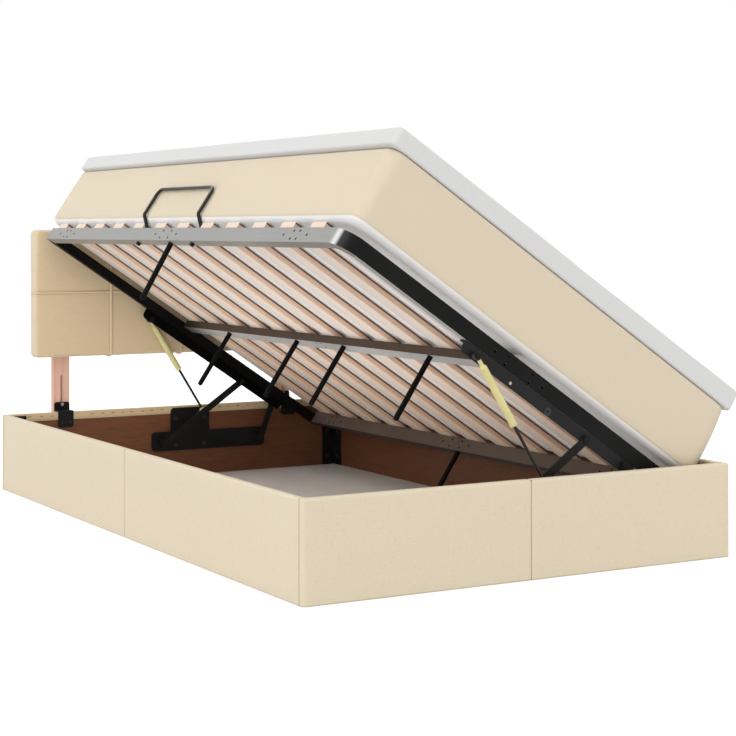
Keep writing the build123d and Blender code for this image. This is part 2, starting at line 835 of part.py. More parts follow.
box_screw = screw(screw_head, screw_head_height, screw_radius, screw_length)
box_hole = screw_hole(screw_radius, screw_length)
small_screw = screw(small_head, small_head_height, small_radius, small_length)
small_hole = screw_hole(small_radius, small_length)

hook_places = [((side * post_x + step, inner_y - hook_thickness, box_height - hook_screw_drop),
                (0, 1, 0))
               for side in (-1, 1) for step in (-hook_screw_step, hook_screw_step)]
angle_holes = at_places(box_hole, angle_places)
bracket_holes = at_places(box_hole, bracket_places)
hook_holes = at_places(small_hole, hook_places)
corner_tools = [tool for hole in angle_holes for tool in in_four_corners(hole)]

foot_core = grooves(foot_side(head_core), corner_tools + [foot_side(h) for h in bracket_holes])
head_core = grooves(head_core, corner_tools + bracket_holes + hook_holes)
hinge_core = grooves(hinge_core, corner_tools)
pieces["head_wall_board"] = head_core
pieces["foot_wall_board"] = foot_core
pieces["hinge_wall_board"] = hinge_core
pieces["lift_wall_board"] = mirror(hinge_core, about=Plane.YZ)
cover_head = grooves(head_cover, bracket_holes)
pieces["head_wall_cover"] = cover_head
pieces["foot_wall_cover"] = foot_side(cover_head)
pieces["hinge_wall_cover"] = hinge_cover
pieces["lift_wall_cover"] = mirror(hinge_cover, about=Plane.YZ)

angle = grooves(angle, angle_holes)
pieces["corner_angles"] = Compound(children=in_four_corners(angle))
bracket = grooves(bracket, bracket_holes)
pieces["lift_bracket_head"] = bracket
pieces["lift_bracket_foot"] = foot_side(bracket)
wall_screws = [copy for one in at_places(box_screw, angle_places)
               for copy in in_four_corners(one)]
for one in at_places(box_screw, bracket_places):
    wall_screws += [one, foot_side(one)]
pieces["wall_screws"] = Compound(children=wall_screws)

board_run = (2 * (inner_y + cover) + floor_joint) / floor_boards
floor_set = []
for index in range(floor_boards):
    start = -inner_y - cover + index * board_run
    floor_set.append(block((-inner_x - cover, inner_x + cover),
                           (start, start + board_run - floor_joint), (0, floor_board)))
pieces["floor_boards"] = Compound(children=floor_set)

bosses = pivot_bosses()
pieces["pivot_bosses_head"] = Compound(children=bosses)
pieces["pivot_bosses_foot"] = Compound(children=[foot_side(one) for one in bosses])
pins = [base_pin(long_pivot_x, long_pivot_height), base_pin(short_pivot_x, short_pivot_height)]
pieces["base_pins"] = Compound(children=pins + [foot_side(one) for one in pins])

for name, side in (("lift", -1), ("hinge", 1)):
    one = grooves(hook(side * post_x), hook_holes)
    one = one - rod_along_y(clamp_radius + hole_gap, side * post_x, clamp_z,
                            (inner_y + wall, pad_back))
    pieces[f"headboard_bracket_{name}_side"] = one
pieces["bracket_screws"] = Compound(children=at_places(small_screw, hook_places))
pieces["clamp_bolts"] = Compound(children=[clamp_bolt(-post_x), clamp_bolt(post_x)])

# Links and gas struts at both ends
cylinder, rod = strut_cylinder()
for name, shape in (("long_link", long_link()), ("short_link", short_link()),
                    ("strut_cylinder", cylinder), ("strut_rod", rod)):
    pieces[f"{name}_head"] = shape
    pieces[f"{name}_foot"] = foot_side(shape)

# Lift frame and what lies on it
frame = {
    "raised_tube": long_tube((0, tube_width), bend_radius),
    "hinge_tube": long_tube((lid_width, lid_width - tube_width), bend_radius),
    "head_tube": head_tube(),
    "foot_tube": foot_tube(),
    "foot_bends": Compound(children=foot_bends()),
    "centre_tube": centre_tube(),
    "frame_feet": Compound(children=frame_feet()),
    "handle": handle(),
    "handle_caps": Compound(children=[handle_cap(pattern_shift - handle_half),
                                      handle_cap(pattern_shift + handle_half)]),
    "lift_plate_head": lift_plate_head(),
    "lift_plate_foot": foot_side(lift_plate_head()),
    "frame_pins": Compound(children=frame_pins() + [foot_side(one) for one in frame_pins()]),
    "plate_fittings": Compound(children=plate_fittings()
                               + [foot_side(one) for one in plate_fittings()]),
    "mattress": mattress(),
    "topper": topper(),
}
for v in (pattern_shift - handle_half, pattern_shift + handle_half):
    frame["raised_tube"] = frame["raised_tube"] - rod_along_z(
        handle_radius + hole_gap, tube_width / 2, v, (-overrun, tube_height + overrun))
for index in range(slat_count):
    v = pattern_shift + (index - (slat_count - 1) / 2) * slat_pitch
    frame[f"slat_{index + 1:02d}"] = slat(v)
for name, shape in frame.items():
    pieces[name] = open_place * shape

# Headboard on its posts
post_places = [((side * post_x + step, pad_back + post_thickness, z), (0, -1, 0))
               for side in (-1, 1) for step in (-post_screw_step, post_screw_step)
               for z in (headboard_low + post_screw_low, headboard_low + post_screw_high)]
post_screw = screw(small_head, small_head_height, small_radius,
                   post_thickness + post_screw_bite)
post_holes = at_places(screw_hole(small_radius, post_thickness + post_screw_bite), post_places)
pieces["headboard_pad"] = headboard_pad()
pieces["headboard_board"] = grooves(headboard_core(), post_holes)
pieces["post_lift_side"] = grooves(post(-post_x), post_holes)
pieces["post_hinge_side"] = grooves(post(post_x), post_holes)
pieces["post_screws"] = Compound(children=at_places(post_screw, post_places))

for name, shape in pieces.items():
    export_step(shape, f"parts/{name}.step")
print(f"{len(pieces)} sub-parts written")
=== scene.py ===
import math
import random
from functools import reduce

import bmesh
import bpy
from mathutils import Euler, Matrix, Vector, noise


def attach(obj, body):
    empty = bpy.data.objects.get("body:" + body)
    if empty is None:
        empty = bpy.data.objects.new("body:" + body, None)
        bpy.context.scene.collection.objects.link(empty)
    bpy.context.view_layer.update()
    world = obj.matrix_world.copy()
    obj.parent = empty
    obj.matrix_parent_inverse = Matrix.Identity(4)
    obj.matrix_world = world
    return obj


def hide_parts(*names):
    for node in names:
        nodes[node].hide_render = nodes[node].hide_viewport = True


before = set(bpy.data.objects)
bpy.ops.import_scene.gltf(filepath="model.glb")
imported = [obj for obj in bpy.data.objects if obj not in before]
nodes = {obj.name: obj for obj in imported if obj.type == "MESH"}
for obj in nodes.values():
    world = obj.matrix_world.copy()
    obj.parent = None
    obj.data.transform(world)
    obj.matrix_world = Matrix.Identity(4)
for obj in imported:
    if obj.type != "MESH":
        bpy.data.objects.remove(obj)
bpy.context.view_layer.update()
random.seed(11)
print("frame loaded:", len(nodes), "nodes")

# the box, in metres, standing on the floor with its middle at the origin
box = {
    "innerX": 0.598,
    "outerX": 0.620,
    "innerY": 1.023,
    "outerY": 1.045,
    "rim": 0.240,
    "stripLow": 0.215,  # lower edge of the cover that is turned in
    "sideEnd": 1.0247,  # where the side covers stop
    "endStart": 1.0253,  # where the end covers start, round the corner
    "seam": 1.0252,     # middle of the shade between the two
}

# the lift frame: u from its raised edge, v along the bed, n up from its underside
lid = {
    "width": 1.180,
    "angle": math.radians(33.76),
    "inset": 0.1096,   # from the hinge wall to the frame's lower edge
    "height": 0.1541,  # of that edge above the floor
}
lidPlace = Matrix.Translation((
    box["innerX"] - lid["inset"] - lid["width"] * math.cos(lid["angle"]), 0,
    lid["height"] + lid["width"] * math.sin(lid["angle"]),
)) @ Matrix.Rotation(lid["angle"], 4, "Y")


def addObject(name, data):
    made = bpy.data.objects.new(name, data)
    bpy.context.scene.collection.objects.link(made)
    return made


def feed(tree, node, values):
    # each input gets a link or a value
    for key, value in values.items():
        if isinstance(value, bpy.types.NodeSocket):
            tree.links.new(value, node.inputs[key])
        else:
            node.inputs[key].default_value = value


def addNode(tree, kind, values, output=0, **settings):
    node = tree.nodes.new("ShaderNode" + kind)
    for key, value in settings.items():
        setattr(node, key, value)
    feed(tree, node, values)
    return node.outputs[output]


# camera, light and floor

view = {
    "lens": 86.78,
    "sensor": 36,
    "shiftY": -0.1873,
    "place": (-2.4582, -4.5315, 0.8381),
    "heading": -29.912,  # degrees; the camera looks level
}


def makeCamera():
    data = bpy.data.cameras.new("camera")
    data.lens = view["lens"]
    data.sensor_width = view["sensor"]
    data.shift_y = view["shiftY"]
    camera = addObject("camera", data)
    camera.location = view["place"]
    camera.rotation_euler = (math.radians(90), 0, math.radians(view["heading"]))
    bpy.context.scene.camera = camera


studio = {
    "fill": 1.00,        # even light from all round
    "fillColour": (1, 0.985, 0.96, 1),
    "key": 0.47,         # soft sun from the upper left
    "keySoftness": 50,   # degrees
    "keyFrom": (-0.55, -0.62, 1.0),
    "side": 0.66,        # low soft light from the lifting side
    "sideSoftness": 70,
    "sideFrom": (-1.0, -0.35, 0.10),
    "bounce": 4.2,       # watts, thrown up from the floor of the open box
    "bounceSize": (0.55, 1.60),
    "bouncePlace": (-0.24, 0.0, 0.035),
    "floorSize": 30,
    "floorZ": -0.0005,
    "floorAlbedo": 0.80,
    "floorLift": 0.34,   # brings the floor to white for the camera only
}


def makeWorld():
    # the part gets the fill light; what the camera or a mirror sees is plain white
    world = bpy.data.worlds.new("studio")
    bpy.context.scene.world = world
    world.use_nodes = True
    tree = world.node_tree
    tree.nodes.clear()
    path = tree.nodes.new("ShaderNodeLightPath").outputs
    seen = path["Is Camera Ray"]
    for kind in ("Is Glossy Ray", "Is Transmission Ray"):
        seen = addNode(tree, "Math", {0: seen, 1: path[kind]}, operation="MAXIMUM")
    fill = addNode(tree, "Background", {"Color": studio["fillColour"],
                                        "Strength": studio["fill"]})
    white = addNode(tree, "Background", {"Color": (1, 1, 1, 1), "Strength": 1})
    shown = addNode(tree, "MixShader", {0: seen, 1: fill, 2: white})
    feed(tree, tree.nodes.new("ShaderNodeOutputWorld"), {"Surface": shown})


def makeLamps():
    for name in ("key", "side"):
        sun = bpy.data.lights.new(name, "SUN")
        sun.energy = studio[name]
        sun.angle = math.radians(studio[name + "Softness"])
        towards = Vector(studio[name + "From"]).to_track_quat("Z", "Y")
        addObject(name, sun).rotation_euler = towards.to_euler()
    panel = bpy.data.lights.new("bounce", "AREA")
    panel.shape = "RECTANGLE"
    panel.size, panel.size_y = studio["bounceSize"]
    panel.energy = studio["bounce"]
    lamp = addObject("bounce", panel)
    lamp.location = studio["bouncePlace"]
    lamp.rotation_euler = (math.pi, 0, 0)
    lamp.visible_camera = lamp.visible_glossy = False


def makeFloor():
    bm = bmesh.new()
    bmesh.ops.create_grid(bm, x_segments=1, y_segments=1, size=studio["floorSize"])
    mesh = bpy.data.meshes.new("floor")
    bm.to_mesh(mesh)
    bm.free()
    floor = addObject("floor", mesh)
    floor.location.z = studio["floorZ"]
    material = bpy.data.materials.new("studioFloor")
    material.use_nodes = True
    tree = material.node_tree
    seen = addNode(tree, "LightPath", {}, "Is Camera Ray")
    glow = addNode(tree, "Math", {0: seen, 1: studio["floorLift"]}, operation="MULTIPLY")
    feed(tree, tree.nodes["Principled BSDF"], {
        "Base Color": (*[studio["floorAlbedo"]] * 3, 1), "Roughness": 1,
        "Specular IOR Level": 0, "Emission Color": (1, 1, 1, 1), "Emission Strength": glow})
    mesh.materials.append(material)


bpy.context.scene.view_settings.view_transform = "Standard"
makeCamera()
makeWorld()
makeLamps()
makeFloor()
print("studio ready")


# small helpers for node trees

threadFade = (0.75, 0.95)  # how straight a face looks along an axis while its threads fade
spotEdge = 0.0003          # softness of the edge of a round spot


class Nodes:
    def __init__(self, name, roughness, specular):
        self.material = bpy.data.materials.new(name)
        self.material.use_nodes = True
        self.tree = self.material.node_tree
        self.shade({"Roughness": roughness, "Specular IOR Level": specular})
        coordinates = self.tree.nodes.new("ShaderNodeTexCoord").outputs
        self.place = coordinates["Object"]
        self.facing = coordinates["Normal"]

    def shade(self, values):
        feed(self.tree, self.tree.nodes["Principled BSDF"], values)

    def add(self, kind, values, output=0, **settings):
        return addNode(self.tree, kind, values, output, **settings)

    def mapped(self, scale=(1, 1, 1), turn=(0, 0, 0), move=(0, 0, 0), vector=None):
        return self.add("Mapping", {"Vector": vector or self.place, "Scale": scale,
                                    "Rotation": turn, "Location": move})

    def math(self, operation, a, b=0.0):
        return self.add("Math", {0: a, 1: b}, operation=operation)

    def plus(self, a, b):
        return self.math("ADD", a, b)

    def minus(self, a, b):
        return self.math("SUBTRACT", a, b)

    def times(self, a, b):
        return self.math("MULTIPLY", a, b)

    def larger(self, a, b):
        return self.math("MAXIMUM", a, b)

    def absolute(self, a):
        return self.math("ABSOLUTE", a)

    def within(self, value, middle, half):
        # 1 where a value lies within half of the middle
        return self.add("Math", {0: value, 1: middle, 2: half}, operation="COMPARE")

    def noise(self, vector, scale, detail, roughness, distortion=0.0):
        return self.add("TexNoise", {"Vector": vector, "Scale": scale, "Detail": detail,
                                     "Roughness": roughness, "Distortion": distortion}, "Fac")

    def wave(self, vector, scale, axis, distortion, detail, detailScale):
        return self.add("TexWave", {"Vector": vector, "Scale": scale, "Distortion": distortion,
                                    "Detail": detail, "Detail Scale": detailScale}, "Fac",
                        wave_type="BANDS", bands_direction=axis, wave_profile="SIN")

    def threads(self, vector, scale, turn, distortion, detailScale):
        # stripes along each axis, left out where the surface faces that axis: there they
        # would draw height lines on a face that bulges
        toObject = Euler(turn).to_matrix().transposed()
        stripes = []
        for index, axis in enumerate("XYZ"):
            band = self.wave(vector, scale, axis, distortion, 2, detailScale)
            facing = self.absolute(self.towards(toObject.col[index]))
            keep = self.range(facing, *threadFade, 1, 0)
            stripes.append(self.plus(self.times(self.minus(band, 0.5), keep), 0.5))
        return stripes

    def mix(self, factor, a, b, blend="MIX"):
        # inputs 6 and 7 and output 2 are the node's colours
        a, b = ((*c, 1) if isinstance(c, tuple) else c for c in (a, b))
        return self.add("Mix", {0: factor, 6: a, 7: b}, 2, data_type="RGBA",
                        blend_type=blend)

    def range(self, value, a, b, c=0.0, d=1.0, smooth=False):
        return self.add("MapRange", {"Value": value, "From Min": a, "From Max": b,
                                     "To Min": c, "To Max": d},
                        interpolation_type="SMOOTHSTEP" if smooth else "LINEAR")

    def axis(self, vector, name):
        return self.add("SeparateXYZ", {"Vector": vector}, name)

    def towards(self, direction):
        # how far the surface faces a direction, 1 straight at it
        return self.add("VectorMath", {0: self.facing, 1: direction}, "Value",
                        operation="DOT_PRODUCT")

    def nearLine(self, vector, centre, radius):
        # 1 within a radius of a line along the bed
        across = [self.math("POWER", self.minus(self.axis(vector, key), place), 2.0)
                  for key, place in zip("XZ", centre)]
        gap = self.math("SQRT", self.plus(*across))
        return self.range(gap, radius - spotEdge, radius + spotEdge, 1, 0)

    def finish(self, colour, roughness, height, distance, strength):
        normal = self.add("Bump", {"Strength": strength, "Distance": distance,
                                   "Height": height})
        self.shade({"Base Color": colour, "Roughness": roughness, "Normal": normal})
        return self.material


def tinted(colour, share):
    # a colour times a number, or times another colour
    shares = share if isinstance(share, tuple) else grey(share)
    return tuple(min(1, c * k) for c, k in zip(colour, shares))


def grey(value):
    return value, value, value


def waveScale(spacing):
    # a wave texture of scale 1 repeats every 2 pi / 20
    return 2 * math.pi / spacing / 20


# the open frame's own directions

lidTurn = (0, -lid["angle"], 0)  # turns a pattern into them
lidAcross = (math.cos(lid["angle"]), 0, -math.sin(lid["angle"]))
lidUp = (math.sin(lid["angle"]), 0, math.cos(lid["angle"]))
toRaised = [-c for c in lidAcross]
toGround = [-c for c in lidUp]
lidOrigin = lidPlace.translation
slatMiddle = [sum(v.co.y for v in nodes[name].data.vertices) / len(nodes[name].data.vertices)
              for name in ("slat_01", "slat_02")]
slatRow = {
    "first": slatMiddle[0],
    "pitch": slatMiddle[1] - slatMiddle[0],
    # height of the frame's underside in the turned coordinates
    "base": lidOrigin.x * math.sin(lid["angle"]) + lidOrigin.z * math.cos(lid["angle"]),
    # the raised edge in the turned coordinates
    "edge": lidOrigin.x * math.cos(lid["angle"]) - lidOrigin.z * math.sin(lid["angle"]),
    # heights between which a slat's edge goes into the mattress's shade
    "shadeFrom": 0.0530,
    "shadeTo": 0.0560,
}
print("slats:", {key: round(value, 4) for key, value in slatRow.items()})


def inLid(u, n):
    # where a point of the open frame lies in an object's coordinates
    place = lidPlace @ Vector((u, 0, n))
    return place.x, place.z


weave = {
    "slubStretch": 8,    # slubs are this many times as long as wide
    "thickSlubs": 42,    # noise scales
    "thinSlubs": 60,
    "clouds": 3.2,
    "fuzz": 420,
    "darkTint": (0.985, 0.965, 0.93),
    "slubTint": (0.87, 0.84, 0.79),
    "seamShade": (0.36, 0.26, 0.14),
    "stripReach": 0.0016,  # how far past the boards' inner faces the turned-in tint goes
    "depth": 0.0004,
    "sheen": 0.2,
}


def wovenFabric(name, base, thread=0.0016, turn=(0, 0, 0), contrast=0.10, slubs=0.75,
                seams=(), inner=None, flank=None):
    # threads run along all three axes, so every flat face shows a plain weave
    n = Nodes(name, 0.92, 0.2)
    place = n.mapped(turn=turn)
    bands = n.threads(place, waveScale(thread), turn, 0.9, 3.0)
    woven = reduce(n.plus, bands)
    thick, thin = [], []
    for axis in range(3):
        stretch = [1 if k == axis else weave["slubStretch"] for k in range(3)]
        along = n.mapped(scale=stretch, turn=turn)
        thick.append(n.noise(along, weave["thickSlubs"], 2, 0.6))
        shifted = n.mapped(scale=stretch, turn=turn, move=(3.7, 1.9, 5.3))
        thin.append(n.noise(shifted, weave["thinSlubs"], 2, 0.6))
    dull = reduce(n.larger, thick)
    clear = reduce(n.larger, thin)
    cloud = n.noise(place, weave["clouds"], 4, 0.6)
    fine = n.noise(place, weave["fuzz"], 2, 0.6)
    dark = tinted(tinted(base, 1 - contrast), weave["darkTint"])
    light = tinted(base, 1 + contrast * 0.45)
    tone = n.mix(n.range(woven, 0.7, 2.3), dark, light)
    tone = n.mix(n.range(dull, 0.60, 0.74, 0, slubs, smooth=True), tone,
                 tinted(base, weave["slubTint"]))
    tone = n.mix(n.range(clear, 0.62, 0.76, 0, slubs, smooth=True), tone, tinted(base, 1.09))
    tone = n.mix(n.range(fine, 0.62, 0.8, 0, 0.25), tone, light)
    tone = n.mix(n.range(cloud, 0.3, 0.7, 0.0, 0.08), tone, tinted(base, 0.94))
    for axis, where, wide, strength in seams:
        away = n.absolute(n.axis(place, axis))
        gap = n.absolute(n.minus(away, where))
        tone = n.mix(n.range(gap, wide * 0.3, wide, strength, 0), tone, weave["seamShade"])
    if inner:
        # the turned-in edge is made browner and darker: painted shade, where it lies inside the
        # box
        reach = [n.math("LESS_THAN", n.absolute(n.axis(place, axis)),
                        box["inner" + axis] + weave["stripReach"]) for axis in "XY"]
        tone = n.mix(n.times(*reach), tone, inner, "MULTIPLY")
    if flank:
        # faces that turn away from the foot end catch more light
        away = n.range(n.towards((0, -1, 0)), 0.25, 0.95, 1, 0, smooth=True)
        tone = n.mix(away, tone, flank, "MULTIPLY")
    n.shade({"Sheen Weight": weave["sheen"], "Sheen Roughness": 0.5})
    height = n.plus(woven, n.times(n.plus(dull, clear), 1.3))
    return n.finish(tone, n.range(dull, 0.3, 0.8, 0.84, 0.98), height, weave["depth"], 0.6)


knit = {
    "loop": 0.006,
    "thinnest": 0.4,     # keeps some yarn between the loops
    "fuzz": 520,         # noise scales
    "clouds": 4,
    "sheen": 0.2,
}


def knitFabric(name, base, depth=0.0006, relief=0.93, footPaintedLight=1.0):
    # fine knitted ticking with a soft quilt-like relief, in the open frame's directions
    n = Nodes(name, 0.88, 0.25)
    place = n.mapped(turn=lidTurn)
    bands = n.threads(place, waveScale(knit["loop"]), lidTurn, 1.4, 2.0)
    loops = reduce(n.times, [n.plus(band, knit["thinnest"]) for band in bands])
    fine = n.noise(place, knit["fuzz"], 2, 0.6)
    cloud = n.noise(place, knit["clouds"], 3, 0.55)
    tone = n.mix(n.range(loops, 0.05, 1.4), tinted(base, relief), base)
    tone = n.mix(n.range(fine, 0.4, 0.75, 0, 0.3), tone, tinted(base, 0.95))
    tone = n.mix(n.range(cloud, 0.3, 0.7, 0, 0.3), tone, tinted(base, 0.955))
    if footPaintedLight != 1:
        # painted light: faces towards the foot end are made whiter
        end = n.range(n.towards((0, -1, 0)), 0.5, 0.95)
        tone = n.mix(end, tone, grey(footPaintedLight), "MULTIPLY")
    n.shade({"Sheen Weight": knit["sheen"]})
    return n.finish(tone, n.range(cloud, 0.3, 0.7, 0.82, 0.92),
                    n.plus(loops, n.times(fine, 0.4)), depth, 0.5)


def finishWood(n, tone, streak, pores, depth, strength):
    return n.finish(tone, n.range(streak, 0.3, 0.7, 0.46, 0.66),
                    n.plus(streak, n.times(pores, 0.7)), depth, strength)


def planedWood(name, light, dark):
    # upright grain with pores, long streaks and a slow change of tone
    n = Nodes(name, 0.55, 0.4)
    grain = n.mapped(scale=(1, 1, 0.055))
    rings = n.wave(grain, 9.0, "X", 7.0, 3, 1.2)
    streak = n.noise(grain, 130, 5, 0.65)
    pores = n.noise(grain, 420, 2, 0.7)
    cloud = n.noise(n.place, 5, 3, 0.5)
    tone = n.mix(n.range(rings, 0.15, 0.95), light, dark)
    tone = n.mix(n.range(streak, 0.35, 0.7, 0, 0.55), tone, tinted(dark, 0.86))
    tone = n.mix(n.range(cloud, 0.3, 0.7, 0.0, 0.5), tone, light)
    return finishWood(n, tone, streak, pores, 0.0004, 0.35)


ply = {
    "layer": 0.0026,
    # painted shade across a slat's face: the cream, lit side gives way to a greyer white
    "faceShadeSpan": (-0.012, 0.032),  # across a slat, from its middle: cream ends, white starts
    "cream": ((0.81, 0.715, 0.64), (0.74, 0.63, 0.545)),  # clear wood and its streaks
    "creamCloud": (0.775, 0.665, 0.58),
    "white": ((0.67, 0.645, 0.625), (0.63, 0.59, 0.565)),
    "edge": ((0.84, 0.63, 0.48), (0.74, 0.53, 0.39)),
    "edgeLayers": (0.62, 0.39, 0.27),
    "edgeShade": (0.115, 0.05, 0.028),
    "end": ((0.80, 0.67, 0.565), (0.70, 0.52, 0.42)),
    # painted shade: slats darker and browner towards the hinge side
    "hingeShadeFrom": (0.35, 1.05),   # distance from the raised edge
    "hingeShade": (0.93, 0.86, 0.79),
}


def slatPly(name):
    # glued birch plies: pale broad faces, browner edges with the plies showing, pink end grain
    n = Nodes(name, 0.55, 0.35)
    place = n.mapped(turn=lidTurn)
    # a Mapping scales before it turns, so the stretch comes in a node of its own
    grain = n.mapped(scale=(0.05, 1, 1), vector=place)
    streak = n.noise(grain, 120, 5, 0.65)
    pores = n.noise(grain, 420, 2, 0.7)
    cloud = n.noise(place, 4, 3, 0.5)
    plies = n.wave(place, waveScale(ply["layer"]), "Z", 0.4, 1, 1.0)
    streaked = n.range(streak, 0.35, 0.7)
    # painted shade: across a slat the face goes from cream at its foot side to a greyer white
    shift = n.math("DIVIDE", n.minus(n.axis(place, "Y"), slatRow["first"]),
                   slatRow["pitch"])
    offset = n.minus(n.math("FRACT", n.plus(shift, 0.5)), 0.5)
    pale = n.range(n.times(offset, slatRow["pitch"]), *ply["faceShadeSpan"])
    cream = n.mix(streaked, *ply["cream"])
    cream = n.mix(n.range(cloud, 0.35, 0.7, 0, 0.5), cream, ply["creamCloud"])
    face = n.mix(pale, cream, n.mix(streaked, *ply["white"]))
    edge = n.mix(streaked, *ply["edge"])
    edge = n.mix(n.range(plies, 0.5, 1.0, 0, 0.35), edge, ply["edgeLayers"])
    # the shade where the edge meets the mattress
    height = n.minus(n.axis(place, "Z"), slatRow["base"])
    edge = n.mix(n.range(height, slatRow["shadeFrom"], slatRow["shadeTo"], smooth=True),
                 edge, ply["edgeShade"])
    end = n.mix(n.range(plies, 0.4, 1.0, 0, 0.5), *ply["end"])
    # painted shade: browner and darker towards the hinge side
    across = n.minus(n.axis(place, "X"), slatRow["edge"])
    hingeShade = n.range(across, *ply["hingeShadeFrom"])
    broad = n.range(n.absolute(n.towards(lidUp)), 0.55, 0.8)
    tip = n.range(n.absolute(n.towards(lidAcross)), 0.75, 0.9)
    tone = n.mix(tip, n.mix(broad, edge, face), end)
    tone = n.mix(hingeShade, tone, ply["hingeShade"], "MULTIPLY")
    return finishWood(n, tone, streak, pores, 0.0003, 0.3)


def panelBoard(name, base, grain):
    # film-faced panel board: a printed wood grain under a thin satin film
    n = Nodes(name, 0.5, 0.4)
    place = n.mapped(scale=(1, 1, 7))
    streak = n.noise(place, 22, 6, 0.62, 0.4)
    fine = n.noise(place, 160, 3, 0.6)
    printed = n.mix(n.range(fine, 0.4, 0.7), grain, base)
    tone = n.mix(n.range(streak, 0.35, 0.66), base, printed)
    return n.finish(tone, n.range(fine, 0.3, 0.7, 0.42, 0.6), fine, 0.0002, 0.3)


def satinPaint(name, base, roughness=0.45, specular=0.15, spot=None, gleam=None):
    # powder coat: fine orange peel, and dust in the low places
    n = Nodes(name, roughness, specular)
    peel = n.noise(n.place, 620, 2, 0.5)
    dust = n.noise(n.place, 14, 5, 0.6)
    tone = n.mix(n.range(dust, 0.45, 0.75, 0, 0.35), base, tuple(c * 1.5 + 0.003 for c in base))
    if spot:
        # another colour round a pin, which runs along the bed
        centre, radius, colour = spot
        tone = n.mix(n.nearLine(n.place, centre, radius), tone, colour)
    if gleam:
        # painted highlight: a lighter line where a rod faces the light
        direction, colour = gleam
        tone = n.mix(n.range(n.towards(direction), 0.72, 0.97, smooth=True), tone, colour)
    return n.finish(tone, n.range(dust, 0.3, 0.7, roughness - 0.05, roughness + 0.1),
                    peel, 0.00015, 0.5)


tube = {
    "black": (grey(0.006), grey(0.011)),  # clean and dusty
    "dimColour": (0.02, 0.017, 0.014),
    "boreShade": grey(0.002),
}


def tubePaint(name, side=None, under=None, gleam=None, specular=0.12, bore=None, dimEnd=None):
    # dark satin tube; the sides that face the raised edge and the ground can be paler: painted
    # reflections, with a painted highlight band (gleam) on the bends
    n = Nodes(name, 0.42, specular)
    place = n.mapped(turn=lidTurn)
    brushed = n.mapped(scale=(60, 1, 60), turn=lidTurn)
    streak = n.noise(brushed, 4, 4, 0.6)
    slow = n.noise(place, 3.4, 2, 0.5)
    peel = n.noise(place, 620, 2, 0.5)
    dust = n.noise(place, 12, 4, 0.6)
    tone = n.mix(n.range(dust, 0.4, 0.75, 0, 0.5), *tube["black"])

    # a painted reflection, made uneven along the tube
    def varied(colour, depth):
        low = tinted(colour, 1 - depth)
        unevenReflection = n.mix(n.range(slow, 0.35, 0.65), colour, low)
        return n.mix(n.range(streak, 0.3, 0.7, 0, 0.5), unevenReflection, tinted(colour, 0.93))

    # painted reflection on the faces towards the ground
    if under:
        below = n.range(n.towards(toGround), 0.55, 0.85, smooth=True)
        tone = n.mix(below, tone, varied(under, 0.3))
    # painted reflection on the faces towards the raised edge, with a painted highlight band
    # (gleam) where a bend turns away
    if side:
        outward = n.towards(toRaised)
        if gleam:
            tone = n.mix(n.range(outward, 0.55, 0.80, 0, 0.05), tone, gleam)
        tone = n.mix(n.range(outward, 0.80, 0.90, smooth=True), tone,
                     gleam or varied(side, 0.12))
        if gleam:
            tone = n.mix(n.range(outward, 0.925, 0.992, smooth=True), tone,
                         varied(side, 0.04))
    along = n.axis(place, "Y")
    if dimEnd:
        # the run near the head wall gets little light
        tone = n.mix(n.range(along, *dimEnd, 0, 0.85, smooth=True), tone, tube["dimColour"])
    if bore:
        # painted shade: the inside, which shows through the drilled holes, is made near black
        u, halfU, height, halfN, run = bore
        inside = n.times(n.within(n.axis(place, "X"), slatRow["edge"] + u, halfU),
                        n.within(n.axis(place, "Z"), slatRow["base"] + height, halfN))
        inside = n.times(inside, n.math("GREATER_THAN", along, run))
        tone = n.mix(inside, tone, tube["boreShade"])
    return n.finish(tone, n.range(streak, 0.3, 0.7, 0.36, 0.5), peel, 0.00015, 0.4)


def zincPlate(name, core=None):
    n = Nodes(name, 0.3, 0.5)
    spangle = n.noise(n.place, 260, 3, 0.6)
    tone = n.mix(n.range(spangle, 0.35, 0.7), (0.74, 0.74, 0.73), (0.90, 0.90, 0.88))
    metal = 1
    if core:
        # bright only near the axis of each bolt, black round it
        x, z, radius = core
        mirrored = n.add("VectorMath", {0: n.place}, operation="ABSOLUTE")
        metal = n.nearLine(mirrored, (x, z), radius)
        tone = n.mix(metal, grey(0.02), tone)
    n.shade({"Metallic": metal})
    return n.finish(tone, n.range(spangle, 0.3, 0.7, 0.24, 0.4), spangle, 0.0001, 0.3)


